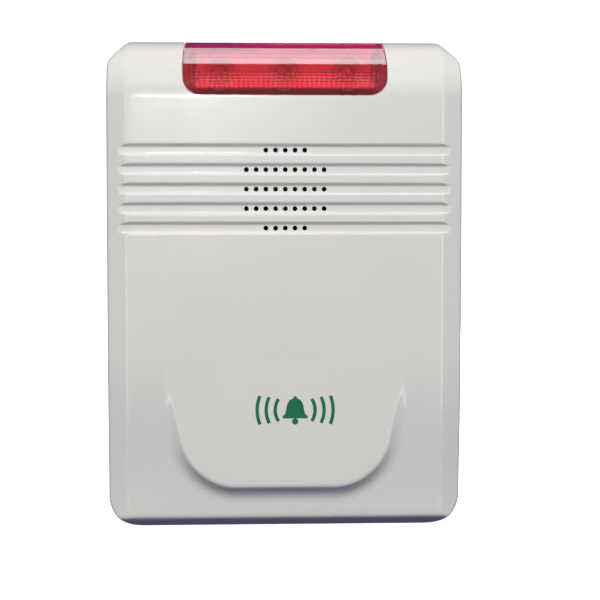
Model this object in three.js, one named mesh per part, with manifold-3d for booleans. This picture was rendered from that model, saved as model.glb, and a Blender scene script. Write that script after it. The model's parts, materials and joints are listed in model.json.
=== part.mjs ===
// A battery alarm siren for a wall or a shelf: a two-part white housing with a red beacon over its top
// edge, a loudspeaker behind a ribbed grille, a main board, four AA cells and a hinged door on the back.
// Millimetres. X runs across, the front faces -Y, the wall side is +Y, and Z is up from the base.
import * as THREE from "three";
import { mergeVertices } from "three/addons/utils/BufferGeometryUtils.js";
import Module from "manifold-3d";

const wasm = await Module();
wasm.setup();

// ---------------------------------------------------------------- driving dimensions
const WIDTH = 110;
const HEIGHT = 152;
const DEPTH = 38;
const WALL = 2;
const GAP = 0.3; // left between pieces that touch
const HALF = WIDTH / 2;
const FRONT = -DEPTH / 2;
const BACK = DEPTH / 2;
const RUN_OUT = 4; // how far a cutting or trimming solid runs past the surface it meets

const SPLIT = 7; // the plane where the front cover ends
const ROLL_RADIUS = 18; // the front face rolls over into the top
const CREASE = 49; // half the width of the flat front face
const BEVEL_DROP = 2.2; // how far the side bevel falls back at the housing's edge
const FOOT_BEVEL = 3;
const TOP_CUT = 6.5; // chamfer of the two top corners
const FOOT_CORNER = 10;
// The rear cover's locating lip inside the front cover, and the ledge that carries it.
const LIP = { inset: 2.4, wall: 1, tall: 2, seat: 1.5 };

const groove = { count: 5, pitch: 6, lowest: 93.7, wide: 4.2, deep: 0.85 };
const soundHole = { radius: 0.75, pitch: 3, perRow: [5, 9, 9, 9, 5], sides: 8 };
const GRILLE_CENTRE = groove.lowest + 2 * groove.pitch;

// The raised tongue on the lower front and the valley that runs round it.
const tongue = {
  foot: 13.1,
  flat: 20.4,
  knee: { x: 32.3, z: 27 },
  hip: { x: 34.5, z: 37 },
  shoulder: { x: 37.5, z: 66 },
};
const valley = { deep: 4.2, top: 62, rim: 0.3, floor: 36, low: 8, high: 16 };

const lens = { half: 31.3, halfTop: 30.7, foot: 134.75, corner: 5.2, back: 3.5, wall: 1.7 };
const led = { pitch: 20, z: 141.5, radius: 2.5, flange: 2.9, flangeTall: 1, tall: 8.4 };
const ledBoard = { half: 27, low: 137.6, high: 148, front: -3.8, thick: 1.6, screwX: 24, screwZ: 145.4 };
const reflector = { half: 27.4, low: 137.1, high: 148.4, front: -14.4, back: -4.1, plate: 1, rise: 0.5 };
const reflectorHole = 3.2;
const reflectorBoss = { radius: 2, tall: 5 };

const speaker = { radius: 18, flange: 1, front: -14.5, depth: 12.5, magnet: 8.5, magnetTall: 4.6 };
const speakerScrewCircle = 20.6;

const board = { half: 46, low: 18, high: 86, front: -3, thick: 1.6, holeX: 40, holeLow: 24, holeHigh: 80 };
const PLUG_Z = 76; // height of the row of connectors on the board
const caseScrew = { x: 45.5, low: 10, high: 138, seat: 10 };

// Radii of the front cover's screw posts and of their pilot holes, and of the rear cover's screw tubes.
const postRadius = { cover: 3.4, board: 2.8, speaker: 2.7 };
const pilotRadius = { cover: 1.5, board: 1.3, speaker: 1.1 };
const pilotStart = { cover: -9, board: -10.5, speaker: FRONT + WALL };
const screwTube = { radius: 4.6, shankWay: 1.7, headWay: 3.2 };

const cell = { radius: 7.15, pitch: 15, length: 50.5, nub: 1.2, nubRadius: 2.7 };
const bay = { half: 30.6, low: 27.4, high: 86.6, front: 2, wall: 1.4, pinDepth: 1.2 };
const CELL_Y = bay.front + GAP + cell.radius;
const contact = { thick: 0.5, wide: 12, tall: 11, spring: 6.5, springRadius: 4 };
const contactTab = { long: 3, half: 1.5, slotHalf: 2 };
const hinge = { y: 17.4, z: 24.3, radius: 1.5, pin: 0.8, clear: 0.4 };
const door = { outer: BACK - 0.2, inner: BACK - WALL, latchHalf: 6, latchTall: 2.9 };
const doorRib = { x: 15, half: 0.6, deep: 0.8, low: 36, high: 78 };
const keyhole = { x: 30, z: 116, head: 4.2, neck: 2.3, rise: 8 };

const CONTROL_Y = -6.3; // the side controls lie in front of the board
const knob = { z: 62, half: 2.8, deepHalf: 1.6, travel: 2 };
const button = { z: 44, radius: 2.7, travel: 0.7, guide: 4.4 };
// The jack's body, how far it lies behind the left wall, and its bore and centre pin.
const jack = { z: 34, y: -7.8, wide: 9, tall: 11, long: 13.7, recess: 2.4, bore: 3.15, deep: 9.5, pin: 1 };
const JACK_HOLE = jack.bore + 0.8; // radius of the hole in the left wall that the plug goes through

// ---------------------------------------------------------------- materials
const finish = (color, roughness, metalness = 0) => ({ color, roughness, metalness });
const finishes = {
  whiteShell: finish(0xdedddb, 0.25),
  redLens: finish(0xd01222, 0.12),
  reflectorWhite: finish(0xe9e7e2, 0.45),
  clearRed: finish(0xff5a4e, 0.15),
  greenBoard: finish(0x1c6b3f, 0.5),
  blackPlastic: finish(0x191a1c, 0.5),
  paperCone: finish(0x2b2624, 0.85),
  steel: finish(0xb9bcc0, 0.35, 1),
  zincScrew: finish(0xa9adb1, 0.4, 1),
  goldContact: finish(0xc9b27a, 0.3, 1),
  copperWire: finish(0xb87333, 0.35, 1),
  cellJacket: finish(0x2f3f63, 0.4),
  capacitorSleeve: finish(0x23304f, 0.4),
  connectorNylon: finish(0xe4dfcf, 0.55),
  foamGasket: finish(0x2a2a2c, 0.95),
  wireRed: finish(0xb3202a, 0.5),
  wireBlack: finish(0x17171a, 0.5),
};

// ---------------------------------------------------------------- solids
function solid(geometry) {
  const bare = geometry.index ? geometry.toNonIndexed() : geometry.clone();
  bare.deleteAttribute("normal");
  bare.deleteAttribute("uv");
  const merged = mergeVertices(bare, 1e-4);
  return new wasm.Manifold(
    new wasm.Mesh({
      numProp: 3,
      vertProperties: merged.attributes.position.array,
      triVerts: new Uint32Array(merged.index.array),
    }),
  );
}

function geometryOf(manifold) {
  const mesh = manifold.getMesh();
  const geometry = new THREE.BufferGeometry();
  geometry.setAttribute("position", new THREE.BufferAttribute(mesh.vertProperties, 3));
  geometry.setIndex(new THREE.BufferAttribute(mesh.triVerts, 1));
  const flat = geometry.toNonIndexed();
  flat.computeVertexNormals();
  return flat;
}

const joined = (solids) => solids.reduce((all, next) => all.add(next));

function block(x0, x1, y0, y1, z0, z1) {
  const geometry = new THREE.BoxGeometry(x1 - x0, y1 - y0, z1 - z0);
  return solid(geometry.translate((x0 + x1) / 2, (y0 + y1) / 2, (z0 + z1) / 2));
}

// A shape drawn in X and Z, extruded along Y.
function prismY(shape, y0, y1, curveSegments = 5) {
  const geometry = new THREE.ExtrudeGeometry(shape, { depth: y1 - y0, bevelEnabled: false, curveSegments });
  return solid(geometry.rotateX(Math.PI / 2).translate(0, y1, 0));
}

// Turns a shape drawn in Y and Z and extruded along its own third axis so that it runs along X.
const alongX = new THREE.Matrix4().makeBasis(
  new THREE.Vector3(0, 1, 0),
  new THREE.Vector3(0, 0, 1),
  new THREE.Vector3(1, 0, 0),
);

function prismX(shape, x0, x1, curveSegments = 5) {
  const geometry = new THREE.ExtrudeGeometry(shape, { depth: x1 - x0, bevelEnabled: false, curveSegments });
  return solid(geometry.applyMatrix4(alongX).translate(x0, 0, 0));
}

function prismZ(shape, z0, z1) {
  return solid(new THREE.ExtrudeGeometry(shape, { depth: z1 - z0, bevelEnabled: false }).translate(0, 0, z0));
}

function rodY(x, z, radius, y0, y1, sides = 12) {
  const geometry = new THREE.CylinderGeometry(radius, radius, y1 - y0, sides);
  return solid(geometry.translate(x, (y0 + y1) / 2, z));
}

function rodX(y, z, radius, x0, x1, sides = 12) {
  const geometry = new THREE.CylinderGeometry(radius, radius, x1 - x0, sides);
  return solid(geometry.rotateZ(Math.PI / 2).translate((x0 + x1) / 2, y, z));
}

// A turned piece about its own Y axis; the profile is a list of [radius, y], anticlockwise.
function turned(profile, sides = 16) {
  const points = profile.map(([radius, y]) => new THREE.Vector2(radius, y));
  return new THREE.LatheGeometry(points, sides);
}

function polygon(points) {
  return new THREE.Shape(points.map(([a, b]) => new THREE.Vector2(a, b)));
}

// A round wire along a curve.
function wireAlong(curve, radius, steps, sides = 8) {
  const section = new THREE.Shape();
  section.absarc(0, 0, radius, 0, 2 * Math.PI);
  const points = section.getSpacedPoints(sides).slice(0, sides);
  return new THREE.ExtrudeGeometry(new THREE.Shape(points), { steps, extrudePath: curve, curveSegments: 1 });
}

const mirrored = [-1, 1];

// ---------------------------------------------------------------- the housing's outer form
function outline(inset) {
  const side = HALF - inset;
  const top = HEIGHT - inset;
  const cut = TOP_CUT - inset * (2 - Math.SQRT2);
  const corner = FOOT_CORNER - inset;
  const shape = new THREE.Shape();
  shape.moveTo(side - cut, top);
  shape.lineTo(cut - side, top);
  shape.lineTo(-side, top - cut);
  shape.absarc(corner - side, inset + corner, corner, Math.PI, 1.5 * Math.PI);
  shape.absarc(side - corner, inset + corner, corner, 1.5 * Math.PI, 2 * Math.PI);
  shape.lineTo(side, top - cut);
  return shape;
}

// The front face, its foot bevel and the roll over to the top, seen from the side.
function sideProfile(inset) {
  const front = FRONT + inset;
  const bevel = FOOT_BEVEL - inset * (2 - Math.SQRT2);
  const rollY = FRONT + ROLL_RADIUS;
  const shape = new THREE.Shape();
  shape.moveTo(front + inset + bevel + RUN_OUT, -RUN_OUT);
  shape.lineTo(BACK + RUN_OUT, -RUN_OUT);
  shape.lineTo(BACK + RUN_OUT, HEIGHT - inset);
  shape.lineTo(rollY, HEIGHT - inset);
  shape.absarc(rollY, HEIGHT - ROLL_RADIUS, ROLL_RADIUS - inset, Math.PI / 2, Math.PI);
  shape.lineTo(front, inset + bevel);
  return shape;
}

// The housing as a solid block, or its inside when inset is the wall, between two planes along Y.
function housing(inset, y0, y1) {
  const bevelled = new THREE.ExtrudeGeometry(sideProfile(inset), {
    depth: 2 * CREASE,
    bevelThickness: HALF - CREASE,
    bevelSize: BEVEL_DROP,
    bevelOffset: -BEVEL_DROP,
    bevelSegments: 1,
    curveSegments: 5,
  });
  const form = solid(bevelled.applyMatrix4(alongX).translate(-CREASE, 0, 0));
  return form.intersect(prismY(outline(inset), y0, y1));
}

function tongueOutline(inset) {
  const edge = (point) => [point.x - inset, point.z];
  const foot = tongue.foot + inset;
  const [shoulder, hip, knee] = [tongue.shoulder, tongue.hip, tongue.knee].map(edge);
  const shape = new THREE.Shape();
  shape.moveTo(...shoulder);
  shape.lineTo(-shoulder[0], shoulder[1]);
  shape.lineTo(-hip[0], hip[1]);
  shape.lineTo(-knee[0], knee[1]);
  shape.quadraticCurveTo(-knee[0] + inset, foot, -tongue.flat, foot);
  shape.lineTo(tongue.flat, foot);
  shape.quadraticCurveTo(knee[0] - inset, foot, knee[0], knee[1]);
  shape.lineTo(...hip);
  return shape;
}

// What is missing from the front face round the tongue; with a grow it also holds the wall behind it.
function valleyRoundTongue(grow) {
  const floor = FRONT + valley.deep + grow;
  const lip = FRONT + grow;
  const outside = FRONT - RUN_OUT;
  const fall = new THREE.Shape();
  fall.moveTo(outside, valley.top);
  fall.lineTo(lip, valley.top);
  fall.quadraticCurveTo(floor - valley.deep / 4, valley.high + valley.high, floor, valley.high);
  fall.quadraticCurveTo(floor + valley.rim, valley.low, lip, FOOT_BEVEL + valley.rim);
  fall.lineTo(outside, FOOT_BEVEL + valley.rim);
  const rim = CREASE - valley.rim;
  const across = polygon([
    [-rim, outside],
    [rim, outside],
    [rim, lip],
    [valley.floor, floor],
    [-valley.floor, floor],
    [-rim, lip],
  ]);
  const ring = prismX(fall, -CREASE, CREASE, 4).intersect(prismZ(across, 0, HEIGHT));
  return ring.subtract(prismY(tongueOutline(grow), FRONT - 2 * RUN_OUT, BACK, 4));
}

// Straight grooves across the front: a steep upper wall and a gentle lower one, out to the side bevels.
function grilleGrooves() {
  const half = groove.wide / 2;
  const section = (z) =>
    polygon([
      [FRONT - RUN_OUT, z + half],
      [FRONT - RUN_OUT, z - half],
      [FRONT, z - half],
      [FRONT + 0.7 * groove.deep, z - half / 3],
      [FRONT + groove.deep, z + half / 4],
      [FRONT + 0.7 * groove.deep, z + 0.7 * half],
      [FRONT, z + half],
    ]);
  return Array.from({ length: groove.count }, (_, row) =>
    prismX(section(groove.lowest + row * groove.pitch), -HALF, HALF),
  );
}

function soundHoles() {
  return soundHole.perRow.flatMap((count, row) =>
    Array.from({ length: count }, (_, i) => {
      const x = (i - (count - 1) / 2) * soundHole.pitch;
      const z = groove.lowest + row * groove.pitch;
      return rodY(x, z, soundHole.radius, FRONT - 1, FRONT + 2 * WALL, soundHole.sides);
    }),
  );
}

// The beacon's outline on the front, open past the top.
function lensOutline(inset) {
  const side = lens.half - inset;
  const foot = lens.foot + inset;
  const corner = lens.corner - inset;
  const top = HEIGHT + RUN_OUT;
  const shape = new THREE.Shape();
  shape.moveTo(lens.halfTop - inset, top);
  shape.lineTo(inset - lens.halfTop, top);
  shape.absarc(corner - side, foot + corner, corner, Math.PI, 1.5 * Math.PI);
  shape.absarc(side - corner, foot + corner, corner, 1.5 * Math.PI, 2 * Math.PI);
  return shape;
}

// ---------------------------------------------------------------- places that repeat
const pairsAt = (x, heights) => heights.flatMap((z) => mirrored.map((side) => [side * x, z]));
const caseScrewPlaces = pairsAt(caseScrew.x, [caseScrew.low, caseScrew.high]);
const boardScrewPlaces = pairsAt(board.holeX, [board.holeLow, board.holeHigh]);
const speakerScrewPlaces = [90, 210, 330].map((degrees) => {
  const angle = THREE.MathUtils.degToRad(degrees);
  return [speakerScrewCircle * Math.cos(angle), GRILLE_CENTRE + speakerScrewCircle * Math.sin(angle)];
});
const ledPlaces = [-1, 0, 1].map((i) => i * led.pitch);
const ledScrewPlaces = pairsAt(ledBoard.screwX, [ledBoard.screwZ]);
const cellPlaces = [-1.5, -0.5, 0.5, 1.5].map((i) => i * cell.pitch);

// ---------------------------------------------------------------- covers
function rodsAt(places, radius, y0, y1, sides) {
  return joined(places.map(([x, z]) => rodY(x, z, radius, y0, y1, sides)));
}

function frontCover() {
  const body = housing(0, FRONT - 1, SPLIT)
    .subtract(valleyRoundTongue(0))
    .subtract(joined(grilleGrooves()));
  const inside = housing(WALL, FRONT - 1, SPLIT + 1).subtract(valleyRoundTongue(WALL));
  const flangeBack = speaker.front + speaker.flange + 2 * GAP;
  const posts = joined([
    rodsAt(caseScrewPlaces, postRadius.cover, FRONT, SPLIT),
    rodsAt(boardScrewPlaces, postRadius.board, FRONT, board.front - GAP),
    rodsAt(speakerScrewPlaces, postRadius.speaker, FRONT, flangeBack),
    rodX(CONTROL_Y, button.z, button.guide + 1, HALF - 5, HALF - 1),
  ]).subtract(rodY(0, GRILLE_CENTRE, speaker.radius + GAP, FRONT, BACK, 24));
  const bores = joined([
    rodsAt(caseScrewPlaces, pilotRadius.cover, pilotStart.cover, SPLIT + 1),
    rodsAt(boardScrewPlaces, pilotRadius.board, pilotStart.board, 0),
    rodsAt(speakerScrewPlaces, pilotRadius.speaker, pilotStart.speaker, 0),
  ]);
  const window = prismY(lensOutline(-GAP), FRONT - 1, lens.back + GAP);
  const slot = block(
    HALF - 5, HALF + 1,
    CONTROL_Y - knob.deepHalf - GAP, CONTROL_Y + knob.deepHalf + GAP,
    knob.z - knob.half - knob.travel - GAP, knob.z + knob.half + knob.travel + GAP,
  );
  const buttonHole = rodX(CONTROL_Y, button.z, button.radius + GAP, HALF - 3, HALF + 1)
    .add(rodX(CONTROL_Y, button.z, button.guide, HALF - 6, HALF - WALL));
  const jackHole = rodX(jack.y, jack.z, JACK_HOLE, -HALF - 1, -HALF + 2 * WALL);
  return body
    .subtract(inside)
    .add(posts.intersect(body))
    .subtract(bores)
    .subtract(joined(soundHoles()))
    .subtract(window)
    .subtract(slot)
    .subtract(buttonHole)
    .subtract(jackHole);
}

function beaconLens() {
  const body = housing(0, FRONT - 1, lens.back).intersect(prismY(lensOutline(0), FRONT - 1, lens.back));
  const hollow = prismY(lensOutline(lens.wall), FRONT - 1, lens.back + 1);
  return body.subtract(housing(lens.wall, FRONT - 1, lens.back + 1).intersect(hollow));
}

function rearCover() {
  const start = SPLIT + GAP;
  const inner = BACK - WALL;
  const tray = prismY(outline(0), start, BACK).subtract(prismY(outline(WALL), start - 1, inner));
  const lip = prismY(outline(LIP.inset), start - LIP.tall, start + 1)
    .subtract(prismY(outline(LIP.inset + LIP.wall), start - LIP.tall - 1, start + 2))
    .subtract(rodsAt(caseScrewPlaces, postRadius.cover + 2 * GAP, 0, BACK));
  const lipSeat = prismY(outline(LIP.seat), start, start + 1).subtract(
    prismY(outline(LIP.inset + LIP.wall), start - 1, start + 2),
  );
  const bayBox = block(
    -bay.half - bay.wall, bay.half + bay.wall,
    bay.front - bay.wall, inner + 1,
    bay.low - bay.wall, bay.high + bay.wall,
  );
  const hingeBox = block(
    -bay.half - bay.wall, bay.half + bay.wall,
    hinge.y - hinge.radius - hinge.clear - bay.wall, inner + 1,
    hinge.z - hinge.radius - hinge.clear - bay.wall, bay.low,
  );
  const tubes = rodsAt(caseScrewPlaces, screwTube.radius, start, inner + 1, 16);
  const bayRoom = block(-bay.half, bay.half, bay.front, BACK + 1, bay.low, bay.high);
  const hingeRoom = block(
    -bay.half, bay.half,
    hinge.y - hinge.radius - hinge.clear, BACK + 1,
    hinge.z - hinge.radius - hinge.clear, bay.low + 1,
  );
  const latchRoom = block(
    -door.latchHalf, door.latchHalf,
    inner - WALL, BACK + 1,
    bay.high - 1, bay.high + door.latchTall + GAP,
  );
  const pinEnd = bay.half + bay.pinDepth;
  const pinHoles = rodX(hinge.y, hinge.z, hinge.pin + hinge.clear, -pinEnd, pinEnd);
  const screwWays = rodsAt(caseScrewPlaces, screwTube.shankWay, 0, BACK).add(
    rodsAt(caseScrewPlaces, screwTube.headWay, caseScrew.seat, BACK + 1, 16),
  );
  const tabSlots = joined(
    [cellPlaces[0], cellPlaces[3]].map((x) =>
      block(
        x - contactTab.slotHalf, x + contactTab.slotHalf,
        CELL_Y - contactTab.slotHalf / 2, CELL_Y + contactTab.slotHalf / 2,
        bay.high - 1, bay.high + bay.wall + 1,
      ),
    ),
  );
  const keyholes = joined(
    mirrored.flatMap((s) => [
      rodY(s * keyhole.x, keyhole.z, keyhole.head, inner - 1, BACK + 1, 16),
      rodY(s * keyhole.x, keyhole.z + keyhole.rise, keyhole.neck, inner - 1, BACK + 1),
      block(
        s * keyhole.x - keyhole.neck, s * keyhole.x + keyhole.neck,
        inner - 1, BACK + 1,
        keyhole.z, keyhole.z + keyhole.rise,
      ),
    ]),
  );
  const cuts = [bayRoom, hingeRoom, latchRoom, pinHoles, screwWays, tabSlots, keyholes];
  return joined([tray, lip, lipSeat, bayBox, hingeBox, tubes]).subtract(joined(cuts));
}

function batteryDoor() {
  const half = bay.half - hinge.clear;
  const plate = block(-half, half, door.inner, door.outer, hinge.z, bay.high - hinge.clear);
  const barrel = rodX(hinge.y, hinge.z, hinge.radius, -half, half, 16);
  const pin = rodX(hinge.y, hinge.z, hinge.pin, -bay.half - 1, bay.half + 1);
  const latch = block(
    hinge.clear - door.latchHalf, door.latchHalf - hinge.clear,
    door.inner, door.outer,
    bay.high - 1, bay.high + door.latchTall - hinge.clear,
  );
  const ribs = joined(
    mirrored.map((s) =>
      block(
        s * doorRib.x - doorRib.half, s * doorRib.x + doorRib.half,
        door.inner - doorRib.deep, door.inner + GAP,
        doorRib.low, doorRib.high,
      ),
    ),
  );
  return joined([plate, barrel, pin, latch, ribs]);
}

// ---------------------------------------------------------------- beacon inside the lens
function reflectorTray() {
  const { low, high, front, back, plate, rise } = reflector;
  const section = polygon([
    [front, low],
    [back, low],
    [back, high],
    [back - plate, high],
    [back - plate, low + rise + plate],
    [front, low + plate],
  ]);
  const holes = joined(ledPlaces.map((x) => rodY(x, led.z, reflectorHole, back - 2 * plate, back + 1, 16)));
  const bosses = rodsAt(ledScrewPlaces, reflectorBoss.radius, back - reflectorBoss.tall, back);
  const bores = rodsAt(ledScrewPlaces, pilotRadius.board, back - reflectorBoss.tall + 1, back + 1);
  return prismX(section, -reflector.half, reflector.half).add(bosses).subtract(holes).subtract(bores);
}

function ledBoardSolid() {
  const { half, low, high, front, thick } = ledBoard;
  const holes = rodsAt(ledScrewPlaces, pilotRadius.board, front - 1, front + thick + 1);
  return block(-half, half, front, front + thick, low, high).subtract(holes);
}

// A round lamp whose base sits at its own origin and whose dome points to -Y.
function ledLamp() {
  const { radius, flange, flangeTall, tall } = led;
  const shoulder = -(tall - radius);
  const dome = [80, 60, 40, 20, 0].map((degrees) => {
    const angle = THREE.MathUtils.degToRad(degrees);
    return [radius * Math.cos(angle), shoulder - radius * Math.sin(angle)];
  });
  return turned([[0, -tall], ...dome, [radius, -flangeTall], [flange, -flangeTall], [flange, 0], [0, 0]], 14);
}

// ---------------------------------------------------------------- loudspeaker
// Its pieces have their front at their own origin and face -Y.
const CONE_EDGE = speaker.radius - 2.6;

function speakerBasket() {
  const back = speaker.depth - speaker.magnetTall;
  return turned([
    [speaker.radius - 1.6, 0],
    [speaker.radius, 0],
    [speaker.radius, speaker.flange],
    [speaker.radius - 1, speaker.flange + 1],
    [speaker.magnet + 1.2, back],
    [speaker.magnet - 3.4, back],
    [speaker.magnet - 3.4, back - 0.8],
    [speaker.magnet + 0.8, back - 0.8],
    [speaker.radius - 1.9, speaker.flange + 0.8],
    [speaker.radius - 1.6, 0],
  ], 20);
}

function speakerCone() {
  return turned([
    [0, 2.9],
    [3.6, 3.9],
    [4.2, 4.9],
    [CONE_EDGE - 1.6, 1.4],
    [CONE_EDGE, 0.9],
    [CONE_EDGE, 1.4],
    [CONE_EDGE - 1.4, 1.9],
    [4.4, 5.8],
    [3.8, 6.2],
    [3.8, 6.8],
    [0, 6.8],
  ], 20);
}

function speakerMagnet() {
  const back = speaker.depth - speaker.magnetTall + GAP;
  return turned([
    [0, back],
    [speaker.magnet, back],
    [speaker.magnet, speaker.depth - 0.6],
    [speaker.magnet - 0.6, speaker.depth],
    [0, speaker.depth],
  ], 20);
}

function speakerGasket() {
  const thick = speaker.front - (FRONT + WALL) - 2 * GAP;
  const inner = speaker.radius - 2.2;
  return turned([
    [inner, -thick],
    [speaker.radius - 0.2, -thick],
    [speaker.radius - 0.2, 0],
    [inner, 0],
    [inner, -thick],
  ], 20);
}

// ---------------------------------------------------------------- screws
// The tip points to -Y, and the seat of the head is at the origin.
function screw(shank, length, head, headTall) {
  const body = solid(turned([
    [0, -length],
    [shank * 0.6, -length],
    [shank, shank - length],
    [shank, 0],
    [head, 0],
    [head, headTall * 0.6],
    [head * 0.7, headTall],
    [0, headTall],
  ], 8));
  const arm = head * 0.6;
  const across = shank * 0.35;
  const recess = joined([
    block(-arm, arm, headTall * 0.4, headTall + 1, -across, across),
    block(-across, across, headTall * 0.4, headTall + 1, -arm, arm),
  ]);
  return geometryOf(body.subtract(recess));
}

// ---------------------------------------------------------------- main board and what is on it
function mainBoard() {
  const { half, low, high, front, thick } = board;
  const holes = rodsAt(boardScrewPlaces, pilotRadius.board + 0.1, front - 1, front + thick + 1, 10);
  return block(-half, half, front, front + thick, low, high).subtract(holes);
}

const ON_BOARD = board.front - GAP; // the plane that the front-side components stand on

function boxOnBoard(wide, deep, tall) {
  return block(-wide / 2, wide / 2, -deep, 0, -tall / 2, tall / 2);
}

function connector(wide) {
  const body = boxOnBoard(wide, 6, 5.6);
  const pocket = block(0.9 - wide / 2, wide / 2 - 0.9, -7, -1.2, -1.9, 1.9);
  return geometryOf(body.subtract(pocket));
}

function capacitor(radius, tall) {
  return turned([
    [0, -tall],
    [radius - 0.5, -tall],
    [radius, 0.5 - tall],
    [radius, -1.6],
    [radius - 0.3, -1.2],
    [radius, -0.8],
    [radius, 0],
    [0, 0],
  ], 14);
}

function radioModule() {
  const plate = boxOnBoard(22, 1.2, 14);
  const can = block(-8, 4, -3.4, -1, -5, 5);
  const crystal = block(6, 9.4, -3, -1, -4, 4);
  return joined([plate, can, crystal]);
}

// A coil of spring wire with a straight foot, standing up along Z.
class AntennaCurve extends THREE.Curve {
  constructor(radius, pitch, turns) {
    super();
    Object.assign(this, { radius, pitch, turns });
  }

  getPoint(t, target = new THREE.Vector3()) {
    const angle = t * this.turns * 2 * Math.PI;
    const rise = t * this.turns * this.pitch;
    return target.set(this.radius * Math.cos(angle), this.radius * Math.sin(angle), rise);
  }
}

const antenna = { radius: 3, pitch: 3.4, turns: 7, wire: 0.5, x: 33, y: -8, z: 84 };

function antennaCoil() {
  const curve = new AntennaCurve(antenna.radius, antenna.pitch, antenna.turns);
  return wireAlong(curve, antenna.wire, antenna.turns * 9, 6);
}

// ---------------------------------------------------------------- side controls
function switchBody() {
  return block(HALF - 14, HALF - 8, -6, 0, -5.5, 5.5).subtract(block(HALF - 10, HALF - 7, -4.4, -1.6, -4, 4));
}

function volumeKnob() {
  const half = knob.half;
  return joined([
    block(HALF - 9.2, HALF - 3, -1, 1, -1.2, 1.2),
    block(HALF - 4, HALF - WALL - GAP, -3, 3, -2 * half - 2.2, 2 * half + 2.2),
    block(HALF - WALL - 1, HALF - GAP, -knob.deepHalf, knob.deepHalf, -half, half),
  ]);
}

function tactSwitch() {
  return block(HALF - 15, HALF - 9.3, -5.7, 0, -3, 3).subtract(
    rodX(CONTROL_Y - ON_BOARD, 0, 2.1, HALF - 12, HALF - 9),
  );
}

const tactPlunger = () => rodX(0, 0, 1.7, HALF - 10.8, HALF - 7.8);

function resetButton() {
  return joined([
    rodX(0, 0, 1.6, HALF - 7.5, HALF - 3),
    rodX(0, 0, button.guide - 0.4, HALF - 3.8, HALF - WALL - GAP, 16),
    rodX(0, 0, button.radius, HALF - WALL - 1, HALF - GAP, 16),
  ]);
}

function powerJack() {
  const back = WALL + jack.recess + GAP - HALF; // the open end, behind the left wall
  const body = block(back, back + jack.long, -jack.wide / 2, jack.wide / 2, -jack.tall / 2, jack.tall / 2);
  const bore = rodX(0, 0, jack.bore, back - 1, back + jack.deep, 16);
  const pin = rodX(0, 0, jack.pin, back + 1, back + jack.deep + 0.5, 8);
  return body.subtract(bore).add(pin);
}

// ---------------------------------------------------------------- cells and contacts
// A cell standing on its flat end at the origin, with its positive nub on top.
function cellBody() {
  const { radius, length, nub, nubRadius } = cell;
  const top = length - nub;
  const profile = [
    [0, 0],
    [radius - 0.8, 0],
    [radius, 0.8],
    [radius, top - 0.8],
    [radius - 0.8, top],
    [nubRadius, top],
    [nubRadius, length],
    [0, length],
  ];
  return turned(profile, 18).rotateX(Math.PI / 2);
}

// A contact plate in the bay's lower or upper end: flat pads, and a spring where a cell's flat end meets it.
function contactPlate(xs, springs, up, tabbed) {
  const { thick, wide, tall } = contact;
  const pads = block(
    xs[0] - wide / 2, xs[xs.length - 1] + wide / 2, CELL_Y - tall / 2, CELL_Y + tall / 2, 0, thick,
  );
  const parts = [pads];
  springs.forEach((x) => {
    const spring = turned([
      [0, 0],
      [contact.springRadius, 0],
      [contact.springRadius, 1],
      [contact.springRadius - 0.8, contact.spring],
      [0, contact.spring],
    ], 12);
    parts.push(solid(spring.rotateX(Math.PI / 2).translate(x, CELL_Y, thick / 2)));
  });
  if (tabbed) {
    const [low, high] = [xs[0] - contactTab.half, xs[0] + contactTab.half];
    parts.push(block(low, high, CELL_Y - GAP, CELL_Y + GAP, -contactTab.long, thick));
  }
  const plate = joined(parts);
  return geometryOf(up ? plate : plate.mirror([0, 0, 1]));
}

// ---------------------------------------------------------------- assembly
const siren = new THREE.Group();

function group(parent = siren) {
  const made = new THREE.Group();
  parent.add(made);
  return made;
}

function place(parent, name, shape, finishName, position = [0, 0, 0]) {
  const geometry = shape.isBufferGeometry ? shape : geometryOf(shape);
  const mesh = new THREE.Mesh(geometry, new THREE.MeshStandardMaterial(finishes[finishName]));
  mesh.name = name;
  mesh.position.set(...position);
  parent.add(mesh);
  return mesh;
}

function placeEach(parent, name, geometry, finishName, places) {
  places.forEach((position, i) => place(parent, `${name}_${i + 1}`, geometry, finishName, position));
}

const casing = group();
place(casing, "front_cover", frontCover(), "whiteShell");
place(casing, "rear_cover", rearCover(), "whiteShell");
place(casing, "battery_door", batteryDoor(), "whiteShell");
placeEach(casing, "case_screw", screw(1.2, 15, 2.8, 2), "zincScrew",
  caseScrewPlaces.map(([x, z]) => [x, caseScrew.seat + GAP, z]));

const beacon = group();
place(beacon, "beacon_lens", beaconLens(), "redLens");
place(beacon, "reflector", reflectorTray(), "reflectorWhite");
place(beacon, "led_board", ledBoardSolid(), "greenBoard");
const LED_NAMES = ["led_left", "led_centre", "led_right"];
const lamp = ledLamp();
ledPlaces.forEach((x, i) => place(beacon, LED_NAMES[i], lamp, "clearRed", [x, ledBoard.front - GAP, led.z]));
placeEach(beacon, "led_board_screw", screw(0.9, 4.4, 1.9, 1.2), "zincScrew",
  ledScrewPlaces.map(([x, z]) => [x, ledBoard.front + ledBoard.thick + GAP, z]));

const driver = group();
driver.position.set(0, speaker.front, GRILLE_CENTRE);
place(driver, "speaker_basket", speakerBasket(), "steel");
place(driver, "speaker_cone", speakerCone(), "paperCone");
place(driver, "speaker_magnet", speakerMagnet(), "blackPlastic");
place(driver, "speaker_gasket", speakerGasket(), "foamGasket", [0, -GAP, 0]);
placeEach(driver, "speaker_screw", screw(0.8, 2.6, 2.4, 1.2), "zincScrew",
  speakerScrewPlaces.map(([x, z]) => [x, speaker.flange + 3 * GAP, z - GRILLE_CENTRE]));

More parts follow.
